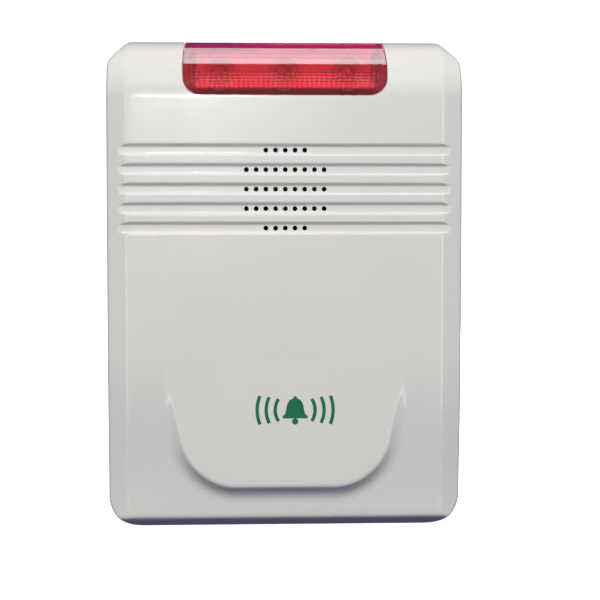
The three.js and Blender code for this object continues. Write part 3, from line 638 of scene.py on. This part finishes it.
def make_mark():
    """The bell with its clapper and three sound arcs on each side."""
    outlines = [bell_outline(), arc(0, -3.55, 1.0, 0, 360, 24)[:-1]]
    for side in (-1, 1):
        for radius, half_angle in ((6.2, 34), (9.0, 27), (11.8, 22)):
            outlines.append(arc_band(radius, half_angle, 1.05, side))
    strokes = []
    for outline in outlines:
        placed = [(MARK_X + a, MARK_Z + b) for a, b in outline]
        strokes.append(prism("stroke", placed, FRONT - MARK_THICK, FRONT + MARK_THICK, 60))
    return joined(strokes, "printed_bell")


# ---- lamps and reflector behind the lens
LED_X = (-20.0, 0.0, 20.0)
LED_Z = 141.5
LED_BASE = -4.1  # where the lamps stand on their board
LED_RADIUS, LED_FLANGE, LED_TALL = 2.5, 2.9, 8.4


def make_led(name, x):
    """A round lamp of clear epoxy, base towards +Y."""
    middle = LED_BASE - LED_TALL + LED_RADIUS
    angles = np.radians(np.arange(0, 91, 7.5))
    dome = [(LED_RADIUS * math.sin(a), middle - LED_RADIUS * math.cos(a)) for a in angles]
    base = [(LED_RADIUS, LED_BASE - 1.15), (LED_FLANGE - 0.1, LED_BASE - 1.0), (LED_FLANGE, LED_BASE - 0.9),
            (LED_FLANGE, LED_BASE), (0, LED_BASE)]
    return turned(name, dome + base, "Y", 40, (x, 0, LED_Z), 40)


def make_led_frame(name, x):
    """The lamp's lead frame: an anvil with its cup, and a post beside it."""
    cup = turned("cup", [(0, -8.0), (0.45, -8.0), (0.95, -8.75), (1.1, -8.75), (1.1, -7.2), (0, -7.2)],
                 "Y", 28, (x - 0.35, 0, LED_Z), 40)
    anvil = block((x - 0.95, -7.3, LED_Z - 0.3), (x - 0.15, LED_BASE - 0.1, LED_Z + 0.3), bevel=0.08)
    post = block((x + 0.75, -8.3, LED_Z - 0.25), (x + 1.25, LED_BASE - 0.1, LED_Z + 0.25), bevel=0.08)
    return joined([cup, anvil, post], name)


def make_reflector():
    """The white tray: a floor, a back plate with three dished lamp seats, and two screw bosses."""
    low, high = box_mm("reflector")
    plate = 1.0
    tray = block((low[0], high[1] - plate, low[2]), (high[0], high[1], high[2]), "reflector_tray")
    floor = block((low[0], low[1], low[2]), (high[0], high[1], low[2] + plate + 0.4))
    dishes = []
    for x in LED_X:
        dishes.append(turned("dish", [(3.25, -4.4), (4.1, -4.4), (5.6, -6.9), (5.25, -7.1), (3.25, -5.2)],
                             "Y", 48, (x, 0, LED_Z)))
    steps = []
    for k in range(5):
        y = low[1] + 1.4 + 1.7 * k
        steps.append(rod("X", 0.55, low[0] + 0.5, high[0] - 0.5, (0, y, low[2] + plate + 0.4), 12))
    clear = [rod("Y", 3.2, -9, -3, (x, 0, LED_Z), 40) for x in LED_X]
    floor_room = [rod("Y", 3.6, -16, -7.0, (x, 0, LED_Z), 40) for x in LED_X]
    boolean(tray, [floor] + dishes + steps, "UNION")
    boolean(tray, clear + floor_room)
    shade_smooth(tray, 30)
    return tray


# ---- side controls
def make_knob():
    """The volume slider: a driving stem, a flange inside the wall, and a ridged cap in the slot."""
    low, high = box_mm("volume_knob")
    y, z = centre_mm("volume_knob")[1:]
    flange = block((HALF - 4, y - 3, z - 7.8), (HALF - WALL - 0.3, y + 3, z + 7.8),
                   "volume_slider", bevel=0.3)
    stem = block((low[0], y - 1, z - 1.2), (HALF - 3, y + 1, z + 1.2))
    cap = block((HALF - WALL - 1, y - 1.6, z - 2.8), (high[0], y + 1.6, z + 2.8))
    boolean(flange, [stem, cap], "UNION")
    ridges = [rod("Y", 0.38, y - 2.5, y + 2.5, (high[0] + 0.12, 0, z - 2 + k), 16) for k in range(5)]
    boolean(flange, [joined(ridges)])
    soften(flange, 0.12, 2, 40)
    shade_smooth(flange, 40)
    return flange


def make_button():
    """The reset button: a stem, a stop collar and a cap with a shallow dish."""
    low, high = box_mm("reset_button")
    y, z = centre_mm("reset_button")[1:]
    stem, collar, cap = 1.6, 4.0, 2.7  # radii
    bottom, top = low[0], high[0]
    collar_start, collar_end = HALF - 3.8, HALF - 2.3
    profile = [(0, bottom), (stem, bottom), (stem, collar_start), (collar, collar_start),
               (collar, collar_end - 0.2), (collar - 0.2, collar_end), (cap, collar_end), (cap, top - 0.35),
               (cap - 0.1, top - 0.1), (2.35, top), (1.9, top - 0.12), (1.1, top - 0.35), (0, top - 0.45)]
    return turned("reset_cap", profile, "X", 48, (0, y, z), 40)


# ---- battery contacts and cells
COIL_TURNS = 4
COIL_WIRE = 0.42  # radius of the wire
COIL_WIDE, COIL_NARROW = 4.0, 2.9  # the coil's radius at the plate and at the cell


def coil(x, z_start, z_end):
    """A conical spring along Z on a cell's axis. Its first turn climbs a little faster."""
    steps = COIL_TURNS * 28
    up = np.array([0.0, 0.0, 1.0])
    rings = []
    for k in range(steps + 1):
        share = k / steps
        angle = 2 * math.pi * COIL_TURNS * share
        first_turn = 0.5 * min(1.0, share * COIL_TURNS)
        later_turns = max(0.0, share - 0.5 / COIL_TURNS)
        climbed = min(1.0, 0.92 * share + 0.08 * (first_turn + later_turns))
        radius = COIL_WIDE + (COIL_NARROW - COIL_WIDE) * share
        out = np.array([math.cos(angle), math.sin(angle), 0.0])
        middle = np.array([x, CELL_Y, z_start + (z_end - z_start) * climbed]) + out * radius
        around = np.linspace(0, 2 * math.pi, 10, endpoint=False)
        rings.append([middle + COIL_WIRE * (math.cos(t) * out + math.sin(t) * up) for t in around])
    return outward(loft("spring", rings, smooth_deg=None), 60)


def make_contact(node, pad_xs, spring_xs, tab_x=None):
    """A bent contact plate with a raised dimple where a nub meets it and a coil where a flat end does."""
    low, high = box_mm(node)
    at_low_end = centre_mm(node)[2] < BAY_MIDDLE
    outer_face = low[2] if at_low_end else BAY_HIGH - 0.3
    into = 1 if at_low_end else -1  # the direction along Z towards the cells
    inner_face = outer_face + into * 0.5
    z0, z1 = sorted((outer_face, inner_face))
    half_wide, half_deep = 6.0, 5.5
    plate = block((pad_xs[0] - half_wide, CELL_Y - half_deep, z0),
                  (pad_xs[-1] + half_wide, CELL_Y + half_deep, z1), bevel=0.12)
    pieces = [plate]
    for x in pad_xs:
        if x in spring_xs:
            pieces.append(coil(x, outer_face + into * 0.9, outer_face + into * 6.2))
        else:
            bulge = [(0, 0), (3.2, 0), (2.7, 0.12), (1.4, 0.24), (0, 0.28)]
            profile = [(radius, inner_face + into * rise) for radius, rise in bulge]
            pieces.append(turned("dimple", profile, "Z", 32, (x, CELL_Y, 0), 60))
    if tab_x is not None:
        tab_low, tab_high = sorted((outer_face, high[2]))
        pieces.append(block((tab_x - 1.5, CELL_Y - 0.25, tab_low), (tab_x + 1.5, CELL_Y + 0.25, tab_high),
                            bevel=0.1))
    return joined(pieces, node + "_plate")


def make_cell(name, x, node):
    """An AA cell: a sleeved can with crimped ends, a bright nub and an insulating ring."""
    low, high = box_mm(node)
    length = high[2] - low[2]
    top = length - 1.2
    flat_end = [(0, 0.25), (4.6, 0.25), (4.9, 0.05), (5.6, 0.0), (6.5, 0.15), (6.9, 0.5), (7.05, 0.9),
                (7.1, 1.3)]
    sleeve = [(CELL_RADIUS, 1.8), (CELL_RADIUS, top - 1.6)]
    crimp = [(7.05, top - 0.9), (6.7, top - 0.3), (6.2, top - 0.05), (5.6, top - 0.2), (3.4, top - 0.2)]
    nub = [(2.75, top - 0.1), (2.7, length - 0.35), (2.5, length - 0.08), (2.2, length), (0, length)]
    nub_is_up = centre_mm(node)[2] > BAY_MIDDLE
    placed = []
    for radius, along in flat_end + sleeve + crimp + nub:
        placed.append((radius, low[2] + along if nub_is_up else high[2] - along))
    return turned(name, placed, "Z", 56, (x, CELL_Y, 0), 25)


# ---- beacon lens
def lens_inner_y(x, z):
    """The lens's inner face: a field of small prisms along its foot, smooth above."""
    y = front_y(x, z, LENS_WALL, detail=False)
    band = smoothstep(PRISM_LOW, PRISM_LOW + 0.6, z) * (1 - smoothstep(PRISM_HIGH - 0.6, PRISM_HIGH, z))
    across = np.abs(((x / PRISM_WIDE) % 1.0) - 0.5) * 2
    up = np.abs(((z / PRISM_TALL) % 1.0) - 0.5) * 2
    return y - PRISM_DEEP * band * (1 - across) * (1 - up)


def surface_block(name, half_of, rows, columns_count, y_of, back):
    """A solid between a front surface and a plane behind it, within a half-width that depends on height."""
    shares = np.linspace(-1, 1, columns_count)
    half = half_of(rows)[:, None]
    x = shares[None, :] * half
    z = np.repeat(rows[:, None], columns_count, 1)
    y = np.minimum(y_of(x, z), back - 0.3)
    return skin_to_back(name, x, y, z, back)


def lens_half(inset):
    """The lens's half-width as a function of height."""
    def half_of(z):
        side, foot, corner = LENS_HALF - inset, LENS_FOOT + inset, LENS_CORNER - inset
        low = np.clip(foot + corner - z, 0, corner)
        half = side - (corner - np.sqrt(np.maximum(corner * corner - low * low, 0)))
        top_share = np.clip((z - LENS_SWELL_Z) / (HEIGHT - LENS_SWELL_Z), 0, 1)
        return half + LENS_SWELL * (1 - top_share) - (LENS_HALF - LENS_HALF_TOP) * top_share
    return half_of


def lens_rows(inset, step):
    """Heights of the lens's rows, about a step apart."""
    foot = LENS_FOOT + inset
    angles = np.linspace(0, math.pi / 2, int(ROLL / step * 1.6))
    rows = ROLL_Z + (ROLL - inset) * np.sin(angles)
    low = foot + np.array([0.0, 0.08, 0.25, 0.5, 0.9])
    return np.concatenate([low, rows[rows > foot + 1.2]])


def lens_solid(name, inset, y_inset, back):
    """The lens's outline, in by inset, filled from its front, in by y_inset, to a plane."""
    return surface_block(
        name, lens_half(inset), lens_rows(inset, 0.45), 90,
        lambda x, z: front_y(x, z, y_inset, detail=False), back,
    )


def make_lens():
    """The clear red shell, with prisms on its inner face."""
    lens = lens_solid("beacon_lens_shell", 0.0, 0.05, LENS_BACK)
    fine_rows = lens_rows(LENS_WALL, 0.13)
    hollow = surface_block("hollow", lens_half(LENS_WALL), fine_rows, 321, lens_inner_y, LENS_BACK + 1)
    boolean(lens, [hollow])
    shade_smooth(lens, 25)
    lens.visible_shadow = False  # light reaches what is behind clear plastic
    return lens


def make_lens_shade():
    """A thin dark sheet of painted shade inside the lens's side and foot walls, which draws a dark line along
    them, with a strip at its upper back that darkens the top of the lens.
    """
    outer = LENS_WALL + 0.05
    shade_sheet = lens_solid("painted_lens_shade", outer, LENS_WALL + 0.5, LENS_BACK - 0.2)
    core = lens_solid("core", outer + 0.3, LENS_WALL - 1, LENS_BACK + 1)
    above = block((-40, -40, HEIGHT - LENS_WALL - 2.0), (40, 40, HEIGHT + 5))
    boolean(shade_sheet, [core, above])
    side = LENS_HALF - outer - 0.1
    plate = block((-side, LENS_BACK - 0.7, 146.5), (side, LENS_BACK - 0.3, HEIGHT - LENS_WALL - 0.15))
    return boolean(shade_sheet, [plate], "UNION")


# ---- materials
def new_material(name, **uniform):
    """A Principled material; uniform values sit on its own sockets."""
    material = bpy.data.materials.new(name)
    material.use_nodes = True
    shader = material.node_tree.nodes["Principled BSDF"]
    for key, value in uniform.items():
        shader.inputs[key.replace("_", " ")].default_value = value
    return material, material.node_tree, shader


def add_node(tree, kind, inputs=None, **settings):
    """A node with its settings, its input values, and links where a value is a socket."""
    node = tree.nodes.new(kind)
    for key, value in settings.items():
        setattr(node, key, value)
    for key, value in (inputs or {}).items():
        if isinstance(value, bpy.types.NodeSocket):
            tree.links.new(value, node.inputs[key])
        else:
            node.inputs[key].default_value = value
    return node


def object_coordinates(tree):
    """Places on the piece, in metres."""
    return add_node(tree, "ShaderNodeTexCoord").outputs["Object"]


def noise(tree, coordinates, scale, detail=3.0, roughness=0.5, distortion=0.0):
    """A cloudy pattern, about 0.5 on average."""
    node = add_node(tree, "ShaderNodeTexNoise", {
        "Vector": coordinates, "Scale": scale, "Detail": detail, "Roughness": roughness,
        "Distortion": distortion,
    })
    return node.outputs["Fac"]


def ramp(tree, value, low, high, from_min=0.3, from_max=0.7):
    """Maps a value to a range of numbers."""
    node = add_node(tree, "ShaderNodeMapRange", {
        "Value": value, "From Min": from_min, "From Max": from_max, "To Min": low, "To Max": high,
    })
    return node.outputs["Result"]


def mix_colors(tree, share, a, b):
    """A blend of two colours, or of two sockets."""
    node = add_node(tree, "ShaderNodeMix", data_type="RGBA")
    tree.links.new(share, node.inputs["Factor"])
    for key, value in (("A", a), ("B", b)):
        socket = [s for s in node.inputs if s.name == key and s.type == "RGBA"][0]
        if isinstance(value, bpy.types.NodeSocket):
            tree.links.new(value, socket)
        else:
            socket.default_value = (*value, 1)
    return [s for s in node.outputs if s.type == "RGBA"][0]


def bump(tree, shader, height, distance_mm, strength=1.0):
    """Relief on the shader's normal."""
    node = add_node(tree, "ShaderNodeBump", {
        "Height": height, "Distance": distance_mm * MM, "Strength": strength,
    })
    tree.links.new(node.outputs["Normal"], shader.inputs["Normal"])


def paint(tree, shader, color, roughness):
    """Links a colour and a roughness to the shader."""
    tree.links.new(color, shader.inputs["Base Color"])
    tree.links.new(roughness, shader.inputs["Roughness"])


def white_plastic():
    """Glossy moulded plastic with a faint orange peel, handling smudges and a few specks."""
    color = (0.815, 0.803, 0.755)
    material, tree, shader = new_material("white_abs", IOR=1.5, Coat_Weight=0.5, Coat_Roughness=0.04)
    at = object_coordinates(tree)
    smudge = noise(tree, at, 28.0, 4.0, 0.55, 0.4)
    tint = mix_colors(tree, ramp(tree, smudge, 0, 1), color, [c * 0.972 for c in color])
    specks = add_node(tree, "ShaderNodeTexVoronoi", {"Vector": at, "Scale": 150.0, "Randomness": 1.0})
    speck = ramp(tree, specks.outputs["Distance"], 1.0, 0.0, 0.0, 0.055)
    dirty = mix_colors(tree, speck, tint, [c * 0.80 for c in color])
    paint(tree, shader, dirty, ramp(tree, noise(tree, at, 45.0, 5.0, 0.6, 0.8), 0.20, 0.27))
    peel = noise(tree, at, 900.0, 2.0, 0.4)
    bump(tree, shader, peel, 0.004, 0.35)
    return material


def red_lens():
    """Clear red moulded plastic."""
    material, tree, shader = new_material(
        "clear_red", IOR=1.49, Transmission_Weight=0.86, Coat_Weight=0.3, Coat_Roughness=0.03,
    )
    at = object_coordinates(tree)
    cloud = noise(tree, at, 60.0, 2.0)
    tint = mix_colors(tree, ramp(tree, cloud, 0, 1), (0.70, 0.036, 0.062), (0.65, 0.030, 0.054))
    paint(tree, shader, tint, ramp(tree, noise(tree, at, 120.0, 3.0), 0.03, 0.08))
    bump(tree, shader, noise(tree, at, 300.0, 2.0), 0.004, 0.2)
    return material


def reflector_plastic():
    """Moulded white plastic with painted shade: grey above the lamps' height, standing in for the shadow of
    the housing's top.
    """
    material, tree, shader = new_material("reflector_white", IOR=1.5)
    at = object_coordinates(tree)
    height = add_node(tree, "ShaderNodeSeparateXYZ", {"Vector": at}).outputs["Z"]
    # painted shade: the colour turns grey above the lamps' height, for the shadow under the housing's top
    share = ramp(tree, height, 0, 1, LED_Z * MM - 0.0015, LED_Z * MM + 0.0005)
    shade = mix_colors(tree, share, (0.93, 0.92, 0.90), (0.38, 0.37, 0.37))
    tint = mix_colors(tree, ramp(tree, noise(tree, at, 220.0, 4.0), 0, 0.12), shade, (0.3, 0.3, 0.3))
    paint(tree, shader, tint, ramp(tree, noise(tree, at, 300.0, 3.0), 0.2, 0.35))
    bump(tree, shader, noise(tree, at, 700.0, 3.0), 0.01)
    return material


def lamp_epoxy():
    """Clear epoxy with a red tint."""
    material, tree, shader = new_material("lamp_epoxy", IOR=1.5, Transmission_Weight=1.0)
    at = object_coordinates(tree)
    tint = mix_colors(tree, ramp(tree, noise(tree, at, 200.0, 2.0), 0, 1), (1.0, 0.55, 0.5), (1.0, 0.45, 0.4))
    paint(tree, shader, tint, ramp(tree, noise(tree, at, 300.0, 3.0), 0.08, 0.15))
    return material


def circuit_board():
    """Green solder mask over copper tracks, which show as paler raised lines."""
    material, tree, shader = new_material("solder_mask", IOR=1.5, Coat_Weight=0.3, Coat_Roughness=0.1)
    at = object_coordinates(tree)
    turned_round = add_node(tree, "ShaderNodeMapping", {"Vector": at, "Rotation": (math.radians(90), 0, 0)})
    tracks = add_node(tree, "ShaderNodeTexBrick", {
        "Vector": turned_round.outputs["Vector"], "Scale": 1.0, "Mortar Size": 0.00025, "Mortar Smooth": 0.1,
        "Brick Width": 0.0083, "Row Height": 0.0026, "Color1": (0, 0, 0, 1), "Color2": (0, 0, 0, 1),
        "Mortar": (1, 1, 1, 1),
    })
    gaps = ramp(tree, noise(tree, at, 120.0), 0, 1)
    broken = add_node(tree, "ShaderNodeMath", {0: tracks.outputs["Color"], 1: gaps}, operation="MULTIPLY")
    tint = mix_colors(tree, broken.outputs[0], (0.012, 0.10, 0.04), (0.05, 0.25, 0.09))
    paint(tree, shader, tint, ramp(tree, noise(tree, at, 200.0, 3.0), 0.25, 0.4))
    bump(tree, shader, broken.outputs[0], 0.035, 0.8)
    return material


def cell_jacket():
    """A printed sleeve in two colours with bare steel at both ends, split by height on the cell."""
    material, tree, shader = new_material("cell_jacket")
    at = object_coordinates(tree)
    parts = add_node(tree, "ShaderNodeSeparateXYZ", {"Vector": at})
    scuff = noise(tree, at, 160.0, 4.0)
    height = parts.outputs["Z"]
    low_end, band_start, high_end = 0.0364, 0.0660, 0.0776  # metres
    low_bare = ramp(tree, height, 1.0, 0.0, low_end, low_end + 0.0002)
    high_bare = ramp(tree, height, 0.0, 1.0, high_end, high_end + 0.0002)
    bare = add_node(tree, "ShaderNodeMath", {0: low_bare, 1: high_bare}, operation="MAXIMUM", use_clamp=True)
    band = ramp(tree, height, 0.0, 1.0, band_start, band_start + 0.0002)
    sleeve = mix_colors(tree, band, (0.012, 0.022, 0.06), (0.55, 0.34, 0.10))
    worn = mix_colors(tree, ramp(tree, scuff, 0, 0.25, 0.45, 0.75), sleeve, (0.3, 0.3, 0.32))
    tint = mix_colors(tree, bare.outputs[0], worn, (0.62, 0.62, 0.64))
    paint(tree, shader, tint, ramp(tree, scuff, 0.22, 0.36))
    tree.links.new(ramp(tree, bare.outputs[0], 0.35, 1.0, 0.0, 1.0), shader.inputs["Metallic"])
    bump(tree, shader, noise(tree, at, 700.0, 2.0), 0.004, 0.4)
    return material


def plain_plastic(name, color, rough=(0.4, 0.55), grain=700.0, depth=0.01, spread=0.08):
    """Moulded plastic with a fine spark-eroded grain."""
    material, tree, shader = new_material(name, IOR=1.48)
    at = object_coordinates(tree)
    patches = noise(tree, at, 90.0, 3.0)
    tint = mix_colors(tree, ramp(tree, patches, 0, 1), color, [c * (1 - spread) for c in color])
    paint(tree, shader, tint, ramp(tree, noise(tree, at, 200.0, 3.0), *rough))
    bump(tree, shader, noise(tree, at, grain, 2.0), depth, 0.5)
    return material


def metal(name, color, rough=(0.25, 0.42), scratch=400.0):
    """Plated metal with fine scratches."""
    material, tree, shader = new_material(name, Metallic=1.0)
    at = object_coordinates(tree)
    patches = noise(tree, at, 150.0, 4.0)
    tint = mix_colors(tree, ramp(tree, patches, 0, 1), color, [c * 0.85 for c in color])
    paint(tree, shader, tint, ramp(tree, noise(tree, at, 260.0, 4.0), *rough))
    stretched = add_node(tree, "ShaderNodeMapping", {"Vector": at, "Scale": (1.0, 1.0, 14.0)})
    bump(tree, shader, noise(tree, stretched.outputs["Vector"], scratch, 3.0), 0.004, 0.4)
    return material


def set_material(piece, material):
    """Gives a piece one material."""
    piece.data.materials.clear()
    piece.data.materials.append(material)


# ---- build
PLASTICS = {  # colour, then roughness, grain, grain's depth and spread of tone where unusual
    "black_plastic": [(0.018, 0.018, 0.02)],
    "paper_cone": [(0.03, 0.026, 0.024), (0.7, 0.9), 1500.0, 0.03, 0.3],
    "magnet": [(0.02, 0.02, 0.022), (0.5, 0.7), 500.0, 0.02, 0.2],
    "capacitor_sleeve": [(0.02, 0.04, 0.1), (0.3, 0.4)],
    "connector_nylon": [(0.75, 0.7, 0.58)],
    "gasket_foam": [(0.02, 0.02, 0.02), (0.8, 0.95), 1200.0, 0.06, 0.3],
    "lead_red": [(0.5, 0.02, 0.03)],
    "lead_black": [(0.015, 0.015, 0.017)],
}
METALS = {  # colour, then roughness where unusual
    "basket_steel": [(0.5, 0.5, 0.52)],
    "screw_steel": [(0.55, 0.55, 0.57)],
    "contact_spring": [(0.72, 0.70, 0.64), (0.16, 0.32)],
    "copper": [(0.75, 0.36, 0.18)],
}
slot_materials = {
    "white_shell": white_plastic(),
    "reflector": reflector_plastic(),
    "lamp": lamp_epoxy(),
    "circuit_board": circuit_board(),
    "cell_jacket": cell_jacket(),
}
for name, look in PLASTICS.items():
    slot_materials[name] = plain_plastic(name, *look)
for name, look in METALS.items():
    slot_materials[name] = metal(name, *look)
clear_red = red_lens()
print_green = plain_plastic("print_green", (0.0, 0.165, 0.075), (0.3, 0.42), 1400.0, 0.003, 0.12)
# a dark violet sheet inside the lens, for painted shade
lens_shade_material = plain_plastic("painted_lens_shade", (0.045, 0.006, 0.05), (0.3, 0.4))


def put(piece, node, slot, body="housing"):
    """Puts a piece in the place of a CAD node, with its slot's material."""
    return stand_for(piece, node, slot_materials[slot], body)


put(make_front_cover(), "front_cover", "white_shell")
beacon_lens = stand_for(make_lens(), "beacon_lens", clear_red)
# painted shade: a dark sheet inside the lens darkens its wall line and its top
add_trim(make_lens_shade(), lens_shade_material)
put(make_rear_cover(), "rear_cover", "white_shell")
put(make_door(), "battery_door", "white_shell", "door")
add_trim(make_mark(), print_green)

put(make_reflector(), "reflector", "reflector")
lamps = []
for side, x in zip(("left", "centre", "right"), LED_X):
    lamps.append(put(make_led(f"lamp_{side}", x), f"led_{side}", "lamp"))
    add_trim(make_led_frame(f"lamp_frame_{side}", x), slot_materials["contact_spring"])

put(make_knob(), "volume_knob", "black_plastic", "volume_knob_body")
put(make_button(), "reset_button", "black_plastic", "reset_button_body")

x1, x2, x3, x4 = CELL_X
CONTACTS = {  # the cells each contact touches, those it meets with a coil, and where its tab stands
    "contact_low_left": ([x1, x2], [x1]),
    "contact_low_right": ([x3, x4], [x3]),
    "contact_high_link": ([x2, x3], [x2]),
    "contact_plus": ([x1], [], x1),
    "contact_minus": ([x4], [x4], x4),
}
for node, places in CONTACTS.items():
    put(make_contact(node, *places), node, "contact_spring")
for number, x in enumerate(CELL_X, 1):
    node = f"battery_{number}"
    put(make_cell(f"cell_{number}", x, node), node, "cell_jacket")

# The other CAD nodes keep their shape, with slightly rounded edges and a finish of their own.
EDGE_OF_SLOT = {"circuit_board": 0.1, "screw_steel": 0.12, "connector_nylon": 0.15, "black_plastic": 0.2,
                "basket_steel": 0.15, "magnet": 0.3}
for row in frame["record"]["subparts"]:
    node = frame["nodes"][row["node"]]
    slot = row["material_slot"]
    if not node.hide_render:
        set_material(node, slot_materials[slot])
        if slot in EDGE_OF_SLOT:
            soften(node, EDGE_OF_SLOT[slot], 2, 40)


# ---- stage, light and camera
def hide_from(piece, *rays):
    """Makes a piece or a light not show to some kinds of rays."""
    for ray in rays:
        setattr(piece, "visible_" + ray, False)


def area_light(name, place_mm, target_mm, size_mm, power, color=(1, 1, 1)):
    """A rectangular light aimed at a point."""
    light = bpy.data.lights.new(name, "AREA")
    light.shape = "RECTANGLE"
    light.size, light.size_y = size_mm[0] * MM, size_mm[1] * MM
    light.energy = power
    light.color = color
    lamp = bpy.data.objects.new(name, light)
    bpy.context.scene.collection.objects.link(lamp)
    lamp.location = Vector(place_mm) * MM
    aim = Vector(target_mm) * MM - lamp.location
    lamp.rotation_euler = aim.to_track_quat("-Z", "Y").to_euler()
    return lamp


def glow(name, base, emission, strength):
    """A material that shines evenly."""
    material, _, shader = new_material(name, Roughness=1.0)
    shader.inputs["Base Color"].default_value = (*base, 1)
    shader.inputs["Emission Color"].default_value = (*emission, 1)
    shader.inputs["Emission Strength"].default_value = strength
    return material


def make_stage():
    """A pale floor in a white room. They shine no light on the object."""
    far = 3000.0
    floor = block((-far, -far, -1.2), (far, far, -0.2), "floor")
    room = block((-far, -far, -far), (far, far, far), "room")
    material = glow("stage_white", (1, 1, 1), (1, 1, 1), 1.0)
    for piece in (floor, room):
        set_material(piece, material)
        hide_from(piece, "diffuse", "glossy", "transmission", "shadow")


def make_dark_card():
    """A dim violet card behind and above, seen only in reflections at the top edge."""
    card = mesh_object("dark_card", [(-900, 700, 0), (900, 700, 0), (900, 700, 1250), (-900, 700, 1250)],
                       [(0, 1, 2, 3)], None)
    set_material(card, glow("dark_violet", (0, 0, 0), (0.12, 0.10, 0.75), 0.4))
    hide_from(card, "camera", "diffuse", "transmission", "shadow")


def make_camera():
    """Nearly level, a little to the left of the object, close enough for its slight perspective."""
    distance = 530.0
    azimuth = math.radians(-2.3)
    middle = Vector((0.0, FRONT, HEIGHT / 2))
    data = bpy.data.cameras.new("camera")
    data.sensor_width = 36.0
    data.lens = data.sensor_width * distance / 185.1
    data.clip_start = 0.01
    camera = bpy.data.objects.new("camera", data)
    bpy.context.scene.collection.objects.link(camera)
    back = Vector((math.sin(azimuth), -math.cos(azimuth), math.tan(math.radians(3.0))))
    camera.location = (middle + back * distance) * MM
    target = middle + Vector((4.5, 0.0, -4.5))
    camera.rotation_euler = (target * MM - camera.location).to_track_quat("-Z", "Y").to_euler()
    bpy.context.scene.camera = camera


def make_world():
    """Soft light all round, dim and bluish from below."""
    world = bpy.data.worlds.new("world")
    bpy.context.scene.world = world
    world.use_nodes = True
    tree = world.node_tree
    direction = add_node(tree, "ShaderNodeTexCoord").outputs["Generated"]
    parts = add_node(tree, "ShaderNodeSeparateXYZ", {"Vector": direction})
    share = ramp(tree, parts.outputs["Z"], 0.0, 1.0, -0.15, 0.35)
    color = mix_colors(tree, share, (0.04, 0.042, 0.105), (0.38, 0.38, 0.39))
    tree.links.new(color, tree.nodes["Background"].inputs["Color"])
    tree.nodes["Background"].inputs["Strength"].default_value = 1.0


def shine_only_on(lamp, pieces):
    """Links a light to a few pieces."""
    receivers = bpy.data.collections.new(lamp.name + "_receivers")
    for piece in pieces:
        receivers.objects.link(piece)
    lamp.light_linking.receiver_collection = receivers


make_stage()
make_dark_card()
make_camera()
make_world()
bpy.context.scene.view_settings.view_transform = "Standard"
key = area_light("key", (-60, -1490, 1150), (0, 0, 76), (760, 760), 27.0, (1, 0.99, 0.96))
hide_from(key, "glossy")
behind = area_light("behind", (250, 720, 260), (0, 0, 70), (500, 400), 2.6)
hide_from(behind, "glossy")
window = area_light("window", (-43, -1019, 229), (0, 0, 134), (100, 14), 1.0)
hide_from(window, "diffuse")
for side in (-1, 1):
    strip = area_light("strip", (side * 400, -950, 76), (0, 0, 76), (90, 700), 0.8)
    hide_from(strip, "diffuse")
for near, far, radiance in ((-160, -40, 8.5), (-40, 80, 6.0), (80, 200, 4.2), (200, 330, 3.0)):
    middle_y = (near + far) / 2
    wide = 500
    power = radiance * math.pi * wide * (far - near) * MM ** 2
    softbox = area_light("lens_softbox", (0, middle_y, 650), (0, middle_y, 0), (wide, far - near), power,
                         (0.72, 0.93, 1.0))
    hide_from(softbox, "diffuse", "transmission")
    shine_only_on(softbox, [beacon_lens] + lamps)

glint = area_light("lamp_glint", (0, -90, 300), (0, -8, 141), (90, 30), 0.5)
hide_from(glint, "diffuse", "transmission")
shine_only_on(glint, lamps)
